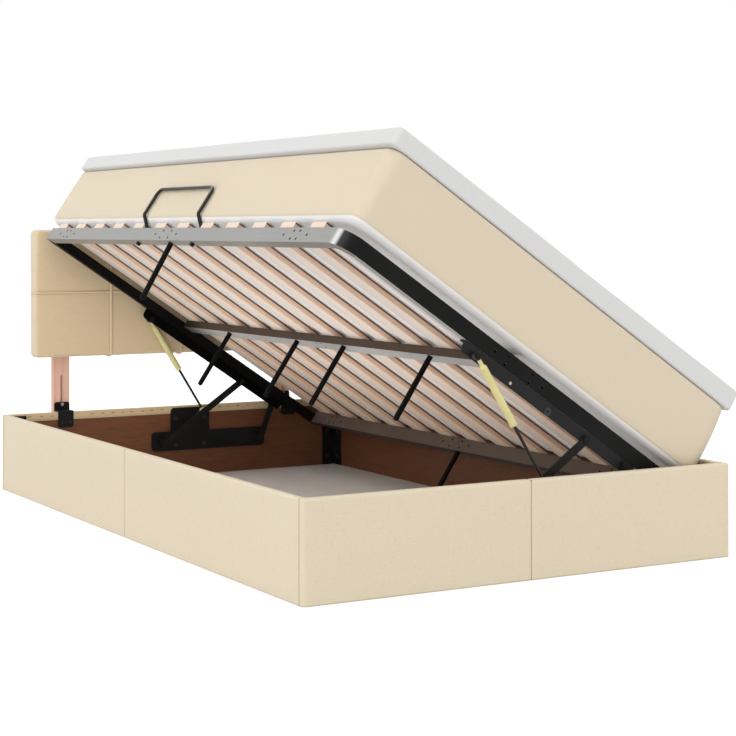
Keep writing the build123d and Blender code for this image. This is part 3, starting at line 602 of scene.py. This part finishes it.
creamBase = (0.776, 0.69, 0.535)
thinSeam = (0.0022, 0.75)    # half width and strength of the shade along a seam
# painted shade beside the headboard's welts
weltShade = (0.0085, 0.5)
# painted shade on the turned-in strip inside the box
turnedInShade = (0.87, 0.75, 0.60)
weltLines = {"x": (-0.254, 0.0, 0.254), "z": 0.633}  # the headboard's welts
paint = {
    "sideCover": wovenFabric("creamWeaveSide", creamBase, seams=(
        ("Y", 0.0, *thinSeam), ("Y", box["seam"], *thinSeam)), inner=turnedInShade),
    "endCover": wovenFabric("creamWeaveEnd", creamBase, seams=(
        ("X", 0.0, *thinSeam), ("Y", box["seam"], *thinSeam)), inner=turnedInShade),
    # the headboard's cover is browner and darker than the box's: painted shade for the front
    # under the lid; flank lightens the sides again
    "headboardCover": wovenFabric("creamWeaveHeadboard", (0.765, 0.615, 0.41), seams=(
        ("X", weltLines["x"][2], *weltShade), ("X", 0.0, *weltShade),
        ("Z", weltLines["z"], 0.0065, 0.35)), flank=(0.965, 1.06, 1.20)),
    "mattressSide": wovenFabric("creamTicking", (0.738, 0.648, 0.505), turn=lidTurn,
                                contrast=0.07, slubs=0.35),
    "mattressBase": knitFabric("whiteBase", (0.86, 0.85, 0.855)),
    "topperKnit": knitFabric("whiteKnit", (0.635, 0.64, 0.65), 0.0002, 0.98, 1.03),
    "welt": wovenFabric("creamWelt", (0.79, 0.65, 0.445), thread=0.0013),
    "board": panelBoard("redBrownBoard", (0.160, 0.060, 0.024), (0.10, 0.034, 0.015)),
    "floorPanel": panelBoard("floorPanel", (0.74, 0.72, 0.69), (0.66, 0.64, 0.61)),
    # the tubes' paler sides and undersides are painted reflections; raisedTube's gleam is a
    # painted highlight on its bends
    "raisedTube": tubePaint("raisedTubePaint", (0.325, 0.326, 0.325), (0.30, 0.285, 0.25),
                            grey(0.66), bore=(0.0125, 0.0123, 0.021, 0.0195, -0.917)),
    "footTube": tubePaint("footTubePaint", None, (0.42, 0.42, 0.415)),
    "centreTube": tubePaint("centreTubePaint", (0.080, 0.055, 0.040), (0.42, 0.415, 0.41),
                            bore=(0.5775, 0.0165, 0.0295, 0.0123, -1.0), dimEnd=(0.70, 0.95)),
    "hingeTube": tubePaint("hingeTubePaint", (0.110, 0.082, 0.064), grey(0.03),
                           bore=(1.1675, 0.0123, 0.021, 0.0195, -0.917)),
    # the head tube lies in shade: it gets no painted reflections and a lower specular
    "headTube": tubePaint("headTubePaint", specular=0.03),
    "steel": satinPaint("darkSteel", grey(0.009)),
    "feet": satinPaint("footBlack", grey(0.004), 0.4, 0.06),
    # painted shade: the head plate is a darker copy of the foot plate's steel
    "shadedHeadPlate": satinPaint("headPlateSteel", grey(0.003), 0.5, 0.03),
    "plate": satinPaint("plateSteel", (0.015, 0.0152, 0.016)),
    # the handle's gleam is a painted highlight
    "handle": satinPaint("handlePaint", grey(0.009), 0.28, 0.35, gleam=(
        (-0.38, -0.22, 0.90), (0.20, 0.20, 0.19))),
    "cap": satinPaint("blackCap", grey(0.010), 0.6),
    "zinc": zincPlate("zincPlate"),
    "clampZinc": zincPlate("clampZinc", (0.410, 0.263, 0.0048)),
    "blackScrew": satinPaint("blackScrew", grey(0.014), 0.35, 0.4),
    "fitting": satinPaint("plateFitting", grey(0.020), 0.35, 0.5, spot=(
        inLid(0.587, -0.020), 0.006, (0.45, 0.43, 0.40))),
    "yellow": satinPaint("paleYellowEnamel", (0.66, 0.60, 0.29), 0.36, 0.3, spot=(
        inLid(0.456, -0.0205), 0.0125, grey(0.014))),
    "rod": satinPaint("blackRod", grey(0.010), 0.3, 0.3, spot=(
        (0.072, 0.224), 0.0125, (0.66, 0.56, 0.27))),
    "slat": slatPly("slatPly"),
    "post": planedWood("postWood", (0.80, 0.52, 0.41), (0.70, 0.42, 0.32)),
    "staple": satinPaint("stapleWire", (0.035, 0.020, 0.012), 0.5),
}


paintedNodes = {
    "board": "foot_wall_board head_wall_board hinge_wall_board lift_wall_board "
             "headboard_board",
    "floorPanel": "floor_boards",
    "raisedTube": "raised_tube foot_bends",
    "footTube": "foot_tube",
    "centreTube": "centre_tube",
    "hingeTube": "hinge_tube",
    "headTube": "head_tube",
    "plate": "lift_plate_foot",
    "shadedHeadPlate": "lift_plate_head",
    "feet": "frame_feet",
    "steel": "corner_angles lift_bracket_head lift_bracket_foot pivot_bosses_head "
             "pivot_bosses_foot base_pins long_link_foot long_link_head short_link_foot "
             "short_link_head frame_pins headboard_bracket_lift_side "
             "headboard_bracket_hinge_side",
    "handle": "handle",
    "cap": "handle_caps",
    "zinc": "post_screws",
    "clampZinc": "clamp_bolts",
    "blackScrew": "wall_screws bracket_screws",
    "fitting": "plate_fittings",
    "yellow": "strut_cylinder_foot strut_cylinder_head",
    "rod": "strut_rod_foot strut_rod_head",
    "slat": " ".join(f"slat_{index:02d}" for index in range(1, 13)),
    "post": "post_lift_side post_hinge_side",
}
for material, names in paintedNodes.items():
    for name in names.split():
        mesh = nodes[name].data
        if not mesh.materials:
            mesh.materials.append(None)
        for index in range(len(mesh.materials)):
            mesh.materials[index] = paint[material]
print("materials ready")


# mesh helpers

def finishPiece(name, bm, materials, body=None, sharpAngle=40):
    mesh = bpy.data.meshes.new(name)
    bm.to_mesh(mesh)
    bm.free()
    for material in materials:
        mesh.materials.append(paint[material])
    for face in mesh.polygons:
        face.use_smooth = True
    mesh.set_sharp_from_angle(angle=math.radians(sharpAngle))
    piece = addObject(name, mesh)
    if body:
        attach(piece, body)
    return piece


def finishPadded(piece, body, node):
    piece.data.update()
    rounder = piece.modifiers.new("subdivide", "SUBSURF")
    rounder.levels = rounder.render_levels = 1
    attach(piece, body)
    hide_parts(node)


def bevelEdges(bm, edges, offset, segments):
    bmesh.ops.bevel(bm, geom=edges, offset=offset, offset_type="OFFSET",
                    segments=segments, profile=0.5, affect="EDGES", material=-1)


def cutAcross(bm, axis, places):
    # cuts straight through the mesh at each place along an axis
    normal = Vector([1.0 if "xyz"[k] == axis else 0.0 for k in range(3)])
    for place in places:
        geometry = bm.verts[:] + bm.edges[:] + bm.faces[:]
        bmesh.ops.bisect_plane(bm, geom=geometry, dist=1e-5, plane_co=normal * place,
                               plane_no=normal)


def steps(low, high, count):
    return [low + (high - low) * k / count for k in range(1, count)]


def edgesAt(bm, axis, place):
    # the edges that lie in a plane across an axis
    k = "xyz".index(axis)
    return [e for e in bm.edges if all(abs(v.co[k] - place) < 1e-5 for v in e.verts)]


def reach(edge, axis):
    # how far an edge goes along an axis
    k = "xyz".index(axis)
    return abs(edge.verts[0].co[k] - edge.verts[1].co[k])


def addBox(bm, size, middle, turn=0, axis="X"):
    made = bmesh.ops.create_cube(bm, size=1)["verts"]
    bmesh.ops.scale(bm, vec=size, verts=made)
    if turn:
        bmesh.ops.rotate(bm, matrix=Matrix.Rotation(turn, 3, axis), verts=made)
    bmesh.ops.translate(bm, vec=middle, verts=made)


def startBlock(low, high):
    bm = bmesh.new()
    addBox(bm, high - low, (high + low) / 2)
    return bm


def weld(bm):
    bmesh.ops.remove_doubles(bm, verts=bm.verts, dist=1e-5)


def softBlock(low, high, corners, rounds, grid):
    # corners gives the radius at the foot end and at the head end, rounds at the lower
    # and the upper edges
    bm = startBlock(low, high)
    foot, head = corners
    for place, corner in zip((low.y, high.y), corners):
        upright = [e for e in edgesAt(bm, "y", place) if reach(e, "z") > 0.01]
        bevelEdges(bm, upright, corner, 8)
    for level, radius in ((high.z, rounds[1]), (low.z, rounds[0])):
        bevelEdges(bm, edgesAt(bm, "z", level), radius, 4)
    cutAcross(bm, "x", steps(low.x + foot, high.x - foot, grid[0]))
    cutAcross(bm, "y", steps(low.y + foot, high.y - head, grid[1]))
    return bm


air = {
    "frames": 20,
    "quality": 6,
    "mass": 0.25,
    "stretch": 12,       # stiffness of the skin
    "shear": 6,
    "bend": 0.4,
    "evenings": 14,      # times that the moves are evened out
    "own": 0.3,          # share of its own move that a point keeps each time
}


def inflate(piece, held, pressure, cap):
    # air pressure in a held cloth skin, then each point's move is capped and evened out
    mesh = piece.data
    before = [v.co.copy() for v in mesh.vertices]
    group = piece.vertex_groups.new(name="held")
    for v in mesh.vertices:
        group.add([v.index], held(v.co), "REPLACE")
    cloth = piece.modifiers.new("cloth", "CLOTH")
    values = cloth.settings
    values.quality = air["quality"]
    values.mass = air["mass"]
    values.tension_stiffness = values.compression_stiffness = air["stretch"]
    values.shear_stiffness = air["shear"]
    values.bending_stiffness = air["bend"]
    values.use_pressure = True
    values.uniform_pressure_force = pressure
    values.effector_weights.gravity = 0
    values.vertex_group_mass = "held"
    cloth.point_cache.frame_start, cloth.point_cache.frame_end = 1, air["frames"]
    scene = bpy.context.scene
    for number in range(1, air["frames"] + 1):
        scene.frame_set(number)
    seen = piece.evaluated_get(bpy.context.evaluated_depsgraph_get())
    after = [v.co.copy() for v in seen.data.vertices]
    piece.modifiers.remove(cloth)
    scene.frame_set(1)
    moves = [b - a for a, b in zip(before, after)]
    for k, move in enumerate(moves):
        if move.length > 1e-9:
            moves[k] = move.normalized() * cap * math.tanh(move.length / cap)
    around = [[] for _ in moves]
    for edge in mesh.edges:
        a, b = edge.vertices
        around[a].append(b)
        around[b].append(a)
    free = [k for k, co in enumerate(before) if held(co) < 0.5]
    for _ in range(air["evenings"]):
        last = [move.copy() for move in moves]
        for k in free:
            near = sum((last[j] for j in around[k]), Vector())
            moves[k] = last[k] * air["own"] + near * ((1 - air["own"]) / len(around[k]))
    for v, a, move in zip(mesh.vertices, before, moves):
        v.co = a + move
    print(piece.name, "moved up to", round(max(m.length for m in moves) * 1000, 2), "mm")
    piece.vertex_groups.clear()
    mesh.update()


# upholstered walls of the box

wallCover = {
    "thickness": 0.0018,
    "rimRound": 0.006,
    "cornerRound": 0.009,
    "seamDepth": 0.0016,
    "seamWidth": 0.0035,
    "rimDip": 0.8,        # share of a seam's depth that shows on the rim
    "band": 0.004,        # points this close to the rim or the outer face move with it
    "puff": 0.00035,      # slow unevenness of the wadding under the cover
    "puffFrom": 0.03,     # it starts at the floor and is full at this height
    "step": 0.036,
    "cornerCuts": (1.0275, 1.031, 1.0355),
    "overlap": 0.0003,    # the cover's inner faces from the boards' ones
    "stripWidth": 0.285,  # of the flat cloth: wall, rim and turned-in strip
    "endRun": 1.275,      # length of an end cover's cloth
}
seamCuts = [k * 0.002 for k in range(-4, 5)]
levelCuts = [0.004] + steps(0, box["rim"], 7) + [0.226]


def seamDip(distance):
    return wallCover["seamDepth"] * math.exp(-(distance / wallCover["seamWidth"]) ** 2)


def puffOut(co, seed):
    slow = noise.noise(Vector((co.x * 5 + seed, co.y * 5, co.z * 9)))
    return wallCover["puff"] * (0.5 + slow) * min(1, co.z / wallCover["puffFrom"])


def turnOutward(bm, probe, outward):
    # the probe is a face that has to look in the outward direction
    bmesh.ops.recalc_face_normals(bm, faces=bm.faces)
    if probe.normal.dot(outward) < 0:
        bmesh.ops.reverse_faces(bm, faces=bm.faces)


def sideCover(name, side):
    # a strip folded over the rim, run along the wall
    end = box["sideEnd"]
    outer, inner = side * box["outerX"], side * box["innerX"]
    bm = bmesh.new()
    chain = [bm.verts.new((x, -end, z)) for x, z in (
        (outer, 0.0), (outer, box["rim"]), (inner, box["rim"]), (inner, box["stripLow"]))]
    line = [bm.edges.new(pair) for pair in zip(chain, chain[1:])]
    grown = bmesh.ops.extrude_edge_only(bm, edges=line)["geom"]
    bmesh.ops.translate(bm, vec=(0, 2 * end, 0),
                        verts=[g for g in grown if isinstance(g, bmesh.types.BMVert)])
    rims = [e for e in edgesAt(bm, "z", box["rim"]) if reach(e, "y") > 1]
    bevelEdges(bm, rims, wallCover["rimRound"], 5)
    count = round(2 * end / wallCover["step"])
    ends = [s * (end - k) for s in (-1, 1) for k in (0.001, 0.003, 0.006)]
    cutAcross(bm, "y", steps(-end, end, count) + seamCuts + ends)
    cutAcross(bm, "z", levelCuts)
    weld(bm)
    for v in bm.verts:
        dip = seamDip(v.co.y) + seamDip(end - abs(v.co.y))
        if abs(v.co.x - outer) < wallCover["rimRound"] + 0.0005:
            v.co.x += side * (puffOut(v.co, side) - dip)
        elif v.co.z > box["rim"] - wallCover["band"]:
            v.co.z -= dip * wallCover["rimDip"]
    probe = max(bm.faces, key=lambda f: side * f.calc_center_median().x)
    turnOutward(bm, probe, Vector((side, 0, 0)))
    finishCover(name, bm, "sideCover")


def endCover(name, side):
    # a shell round the outside of the end wall, its rounded corners included
    outer, start = side * box["outerY"], side * box["endStart"]
    near, far = sorted((side * box["innerY"], outer))
    bm = startBlock(Vector((-box["outerX"], near, 0)), Vector((box["outerX"], far, box["rim"])))
    bottom = [f for f in bm.faces if abs(f.calc_center_median().z) < 1e-6]
    bmesh.ops.delete(bm, geom=bottom, context="FACES")
    upright = [e for e in edgesAt(bm, "y", outer) if reach(e, "z") > 0.1]
    bevelEdges(bm, upright, wallCover["cornerRound"], 5)
    inner = edgesAt(bm, "y", side * box["innerY"])
    rims = [e for e in edgesAt(bm, "z", box["rim"]) if e not in inner]
    bevelEdges(bm, rims, wallCover["rimRound"], 4)
    cutAcross(bm, "y", [start])
    inX = box["innerX"] - wallCover["overlap"]
    cutAcross(bm, "x", [-inX, inX])
    cutAcross(bm, "z", [box["stripLow"]])
    spare = []
    for f in bm.faces:
        c = f.calc_center_median()
        depth = side * c.y
        beyond = abs(c.x) > inX and depth < box["endStart"] - 1e-6
        low = depth < box["innerY"] + wallCover["overlap"] and c.z < box["stripLow"]
        inside = abs(c.x) > inX and depth < box["endStart"] + 1e-6 and abs(f.normal.y) > 0.9
        if beyond or low or inside:
            spare.append(f)
    bmesh.ops.delete(bm, geom=spare, context="FACES")
    count = round(2 * box["outerX"] / wallCover["step"])
    cutAcross(bm, "x", steps(-box["outerX"], box["outerX"], count) + seamCuts)
    cutAcross(bm, "z", levelCuts)
    cutAcross(bm, "y", [side * y for y in wallCover["cornerCuts"]])
    weld(bm)
    for v in bm.verts:
        dip = seamDip(v.co.x)
        if abs(v.co.y - outer) < wallCover["band"]:
            v.co.y += side * (puffOut(v.co, 4 + side) - dip)
        elif abs(abs(v.co.x) - box["outerX"]) < 0.0005:
            v.co.x -= math.copysign(seamDip(abs(v.co.y) - box["endStart"]), v.co.x)
        elif v.co.z > box["rim"] - wallCover["band"]:
            v.co.z -= dip * wallCover["rimDip"]
    probe = max(bm.faces, key=lambda f: f.calc_area())
    turnOutward(bm, probe, Vector((0, side, 0)))
    finishCover(name, bm, "endCover")


def finishCover(wall, bm, material):
    piece = finishPiece(f"{wall}Cover", bm, [material], sharpAngle=60)
    shell = piece.modifiers.new("thickness", "SOLIDIFY")
    shell.thickness = wallCover["thickness"]
    shell.offset = -1
    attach(piece, "box")
    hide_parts(f"{wall}_wall_cover")


sideCover("lift", -1)
sideCover("hinge", 1)
endCover("foot", -1)
endCover("head", 1)
print("wall covers made")


# staples along the turned-in edges

staples = {
    "z": 0.2295,
    "pitch": 0.0355,
    "crown": 0.0105,
    "wire": 0.0017,
    "proud": 0.0008,
    "edge": 0.00022,
    "wander": 0.004,      # along the rim
    "unevenness": 0.0008,  # up and down
    "tilt": 0.12,
    "ends": {"first": -0.565, "count": 32},
    "sides": {"first": -0.985, "count": 56},
    "bracketX": 0.410,    # no staples behind the headboard's brackets
    "bracketHalf": 0.034,
}


def stray(most):
    return random.uniform(-1, 1) * most


def makeStaples():
    # a few are missing in each row
    bm = bmesh.new()
    size = Vector((staples["crown"], staples["proud"], staples["wire"]))

    def spot(row, index):
        return row["first"] + index * staples["pitch"] + stray(staples["wander"])

    def add(x, y, size, axis):
        z = staples["z"] + stray(staples["unevenness"])
        addBox(bm, size, (x, y, z), stray(staples["tilt"]), axis)

    for side in (-1, 1):
        y = side * (box["innerY"] - wallCover["overlap"])
        for index in range(staples["ends"]["count"]):
            x = spot(staples["ends"], index)
            clear = abs(abs(x) - staples["bracketX"]) > staples["bracketHalf"]
            if clear and index % 9 != 6:
                add(x, y, size, "Y")
        x = side * (box["innerX"] - wallCover["overlap"])
        for index in range(staples["sides"]["count"]):
            y = spot(staples["sides"], index)
            if index % 11 != 7:
                add(x, y, size.yxz, "X")
    bevelEdges(bm, bm.edges[:], staples["edge"], 1)
    finishPiece("staples", bm, ["staple"], "box")


makeStaples()


# black clips that hold the corners together at the rim

clips = {
    "long": 0.054,
    "tall": 0.012,
    "thick": 0.0022,
    "z": 0.2285,
    "corner": 0.0045,
    "edge": 0.0004,
    "screws": (0.016, 0.040),  # from the box's corner
    "screwRadius": 0.0034,
    "screwFlat": 0.35,
}


def makeClips():
    c = clips
    corners = [(sideX, sideY) for sideX in (-1, 1) for sideY in (-1, 1)]
    bm = bmesh.new()
    for sideX, sideY in corners:
        addBox(bm, (c["long"], c["thick"], c["tall"]), (
            sideX * (box["innerX"] - c["long"] / 2),
            sideY * (box["innerY"] - c["thick"] / 2), c["z"]))
    ends = [e for e in bm.edges
            if reach(e, "y") > 0.001 and abs(e.verts[0].co.x) < box["innerX"] - 0.01]
    bevelEdges(bm, ends, c["corner"], 4)
    bevelEdges(bm, [e for e in bm.edges if e.calc_face_angle(0) > 1.2], c["edge"], 1)
    finishPiece("cornerClips", bm, ["steel"], "box")
    bm = bmesh.new()
    for sideX, sideY in corners:
        for along in c["screws"]:
            made = bmesh.ops.create_uvsphere(bm, u_segments=16, v_segments=8,
                                             radius=c["screwRadius"])["verts"]
            bmesh.ops.scale(bm, vec=(1, c["screwFlat"], 1), verts=made)
            bmesh.ops.translate(bm, vec=(
                sideX * (box["innerX"] - along),
                sideY * (box["innerY"] - c["thick"]), c["z"]), verts=made)
    finishPiece("clipScrews", bm, ["steel"], "box")


makeClips()
print("staples and clips made")


# mattress and topper on the lift frame

mattress = {
    "low": (-0.011, -1.003, 0.060),
    "high": (1.196, 1.006, 0.266),
    "corners": (0.038, 0.018),
    "rounds": (0.026, 0.010),
    "grid": (36, 60),
    "rows": 20,
    "whiteUpTo": 0.0725,
    "grooveDepth": 0.0007,  # of the seam over the white base
    "grooveHalf": 0.002,
    "lift": 0.0002,         # above the slats and under the topper
    "hingeBulge": 0.0085,   # at mid height
    "headBulge": 0.005,
    "fill": 0.9,
}
softLean = 0.0075           # the hinge side rides this much higher per metre


def sinkSeam(piece, middle):
    # a shallow groove all round, where the cream cover meets the white base
    m = mattress
    for v in piece.data.vertices:
        if abs(v.co.z - m["whiteUpTo"]) < m["grooveHalf"] / 2:
            away = v.co - middle
            inward = Vector((-math.copysign(1, away.x) if abs(away.x) > 0.5 else 0,
                             -math.copysign(1, away.y) if abs(away.y) > 0.94 else 0, 0))
            v.co += inward.normalized() * m["grooveDepth"]


def bulgeSides(piece, low, high):
    # pushes the hinge side and the head end out in an even curve from low to high
    middle = (low + high) / 2
    half = (high - low) / 2
    for v in piece.data.vertices:
        at = v.co - middle
        out = 1 - (at.z / half.z) ** 2
        v.co.x += out * mattress["hingeBulge"] * max(at.x / half.x, 0) ** 6
        v.co.y += out * mattress["headBulge"] * max(at.y / half.y, 0) ** 12


def leanSoft(piece, base, top):
    # the soft layers rise slowly towards the hinge side
    middle = lid["width"] / 2
    for v in piece.data.vertices:
        share = min(1, (v.co.z - base) / (top - base))
        v.co.z += softLean * (v.co.x - middle) * share


def makeMattress():
    m = mattress
    low = Vector(m["low"]) + Vector((0, 0, m["lift"]))
    high = Vector(m["high"]) - Vector((0, 0, m["lift"]))
    border, half = m["whiteUpTo"], m["grooveHalf"]
    lowRound, topRound = m["rounds"]
    bm = softBlock(low, high, m["corners"], m["rounds"], m["grid"])
    cutAcross(bm, "z", [border - half, border, border + half])
    cutAcross(bm, "z", steps(low.z + lowRound, high.z - topRound, m["rows"]))
    weld(bm)
    for f in bm.faces:
        f.material_index = 0 if f.calc_center_median().z < border else 1
    piece = finishPiece("mattressBody", bm, ["mattressBase", "mattressSide"], sharpAngle=60)
    sinkSeam(piece, (low + high) / 2)
    bulgeSides(piece, low, high)
    leanSoft(piece, low.z, high.z)
    piece.data.transform(lidPlace)
    finishPadded(piece, "lid", "mattress")


topper = {
    "low": (-0.023, -1.005, 0.266),
    "high": (1.206, 1.009, 0.320),
    "corners": (0.015, 0.015),
    "rounds": (0.006, 0.0078),
    "grid": (38, 64),
    "levels": (0.286, 0.298),
    "heldUpTo": 0.272,    # the lower edge is held while the rest swells
    "topFrom": 0.30,
    "unevenness": 0.0012,
    "lean": 0.006,        # grows thicker towards the hinge side, per metre
    "lift": 0.0006,
    "swell": 0.0010,
    "pressure": 1.0,
    "fill": 0.7,
}


def makeTopper():
    t = topper
    low = Vector(t["low"]) + Vector((0, 0, t["lift"]))
    high = Vector(t["high"])
    bm = softBlock(low, high, t["corners"], t["rounds"], t["grid"])
    cutAcross(bm, "z", t["levels"])
    weld(bm)
    piece = finishPiece("topperPad", bm, ["topperKnit"], sharpAngle=80)

    def held(co):
        return 1.0 if co.z < t["heldUpTo"] else 0.0

    inflate(piece, held, t["pressure"], t["swell"])
    for v in piece.data.vertices:
        if v.co.z > t["topFrom"]:
            v.co.z += t["unevenness"] * noise.noise(Vector((v.co.x * 4, v.co.y * 4, 2.0)))
            v.co.z += t["lean"] * (v.co.x - lid["width"] / 2)
    leanSoft(piece, mattress["low"][2], low.z)
    piece.data.transform(lidPlace)
    finishPadded(piece, "lid", "topper")


makeMattress()
makeTopper()
print("mattress and topper made")


# headboard pad with its welts

headboard = {
    "half": 0.518,
    "low": 0.420,
    "high": 0.840,
    "front": 1.012,
    "back": 1.062,
    "edgeIn": 0.001,      # room for the welts round the edge
    "faceIn": 0.003,      # and on the face
    "corner": 0.015,
    "frontRound": 0.011,
    "backRound": 0.003,
    "boardDepth": 0.0204,
    "boardInset": 0.0047,
    "grid": (48, 20),
    "gridGap": 0.014,     # no grid lines this close to a welt, which has cuts of its own
    "weltCuts": (0.0, -0.004, -0.009, 0.004, 0.009),
    "sideCut": 1.0405,
    "heldFrom": 1.030,    # depth behind which the pad is held
    "crown": 0.0016,
    "pressure": 2.0,
    "pull": 0.0016,       # how deep the welts are drawn in
    "pullWidth": 0.006,
    "fill": 0.8,
}


def toWelt(co):
    # distance across the pad's face to the nearest welt
    return min(min(abs(co.x - x) for x in weltLines["x"]), abs(co.z - weltLines["z"]))


def makeHeadboardPad():
    h = headboard
    front = h["front"] + h["faceIn"]
    half = h["half"] - h["edgeIn"]
    low, high = h["low"] + h["edgeIn"], h["high"] - h["edgeIn"]
    bm = startBlock(Vector((-half, front, low)), Vector((half, h["back"], high)))
    bevelEdges(bm, [e for e in bm.edges if reach(e, "y") > 0.01], h["corner"], 5)
    bevelEdges(bm, edgesAt(bm, "y", front), h["frontRound"], 5)
    bevelEdges(bm, edgesAt(bm, "y", h["back"]), h["backRound"], 2)
    # a recess for the board
    back = max(bm.faces, key=lambda f: f.calc_center_median().y)
    bmesh.ops.inset_region(bm, faces=[back], thickness=h["boardInset"], use_even_offset=True)
    grown = bmesh.ops.extrude_discrete_faces(bm, faces=[back])["faces"]
    bmesh.ops.translate(bm, vec=(0, -h["boardDepth"], 0),
                        verts=list({v for f in grown for v in f.verts}))
    countX, countZ = h["grid"]
    weltX, weltZ, gap = weltLines["x"], weltLines["z"], h["gridGap"]
    gridX = [x for x in steps(-half, half, countX) if min(abs(x - w) for w in weltX) > gap]
    gridZ = [z for z in steps(low, high, countZ) if abs(z - weltZ) > gap]
    cutAcross(bm, "x", [x + k for x in weltX for k in h["weltCuts"]] + gridX)
    cutAcross(bm, "z", [weltZ + k for k in h["weltCuts"]] + gridZ)
    cutAcross(bm, "y", [h["heldFrom"], h["sideCut"]])
    weld(bm)
    bmesh.ops.recalc_face_normals(bm, faces=bm.faces)
    piece = finishPiece("headboardPad", bm, ["headboardCover"], sharpAngle=50)

    def held(co):
        return 1.0 if co.y > h["heldFrom"] or toWelt(co) < 0.001 else 0.0

    inflate(piece, held, h["pressure"], h["crown"])
    for v in piece.data.vertices:
        if v.co.y < h["heldFrom"]:
            v.co.y += h["pull"] * math.exp(-(toWelt(v.co) / h["pullWidth"]) ** 2)
    finishPadded(piece, "headboard", "headboard_pad")


welt = {
    "radius": 0.0048,
    "sink": 0.0008,       # how far the upright ones lie in the pad's edges
    "crossRadius": 0.0034,
    "crossSink": 0.0004,
    "face": 1.0142,       # depth at which they cross the pad's face
    "turnFrom": 1.030,    # where they turn from the edge to the face
    "back": 1.052,
    "tail": 0.006,        # straight run on the face before the next point
}


def weltRun(edge, side, sink):
    # (place, depth) pairs from the back of one of the pad's edges round to its face
    arc = headboard["frontRound"]
    edge -= side * sink
    run = [(edge, welt["back"]), (edge, welt["turnFrom"])]
    for k in range(1, 6):
        turn = math.radians(90 * k / 6)
        run.append((edge - side * arc * (1 - math.cos(turn)),
                    welt["turnFrom"] - (welt["turnFrom"] - welt["face"]) * math.sin(turn)))
    run.append((edge - side * (arc + welt["tail"] - sink), welt["face"]))
    return run


def weltPiece(name, points, radius):
    # a curve with a round bevel, made a mesh
    data = bpy.data.curves.new(name, "CURVE")
    data.dimensions = "3D"
    data.bevel_depth = radius
    data.bevel_resolution = 3
    data.use_fill_caps = True
    spline = data.splines.new("POLY")
    spline.points.add(len(points) - 1)
    for point, place in zip(spline.points, points):
        point.co = (*place, 1)
    holder = addObject(name + "Curve", data)
    graph = bpy.context.evaluated_depsgraph_get()
    mesh = bpy.data.meshes.new_from_object(holder.evaluated_get(graph))
    bpy.data.objects.remove(holder)
    bm = bmesh.new()
    bm.from_mesh(mesh)
    bpy.data.meshes.remove(mesh)
    bmesh.ops.remove_doubles(bm, verts=bm.verts, dist=1e-6)
    bmesh.ops.recalc_face_normals(bm, faces=bm.faces)
    finishPiece(name, bm, ["welt"], "headboard")


def makeWelts():
    h = headboard
    rising = (weltRun(h["low"], -1, welt["sink"])
              + weltRun(h["high"], 1, welt["sink"])[::-1])
    for index, x in enumerate(weltLines["x"]):
        weltPiece(f"weltUpright{index + 1}", [(x, y, z) for z, y in rising], welt["radius"])
    level = (weltRun(-h["half"], -1, welt["crossSink"])
             + weltRun(h["half"], 1, welt["crossSink"])[::-1])
    weltPiece("weltAcross", [(x, y, weltLines["z"]) for x, y in level], welt["crossRadius"])


makeHeadboardPad()
makeWelts()
print("headboard made")
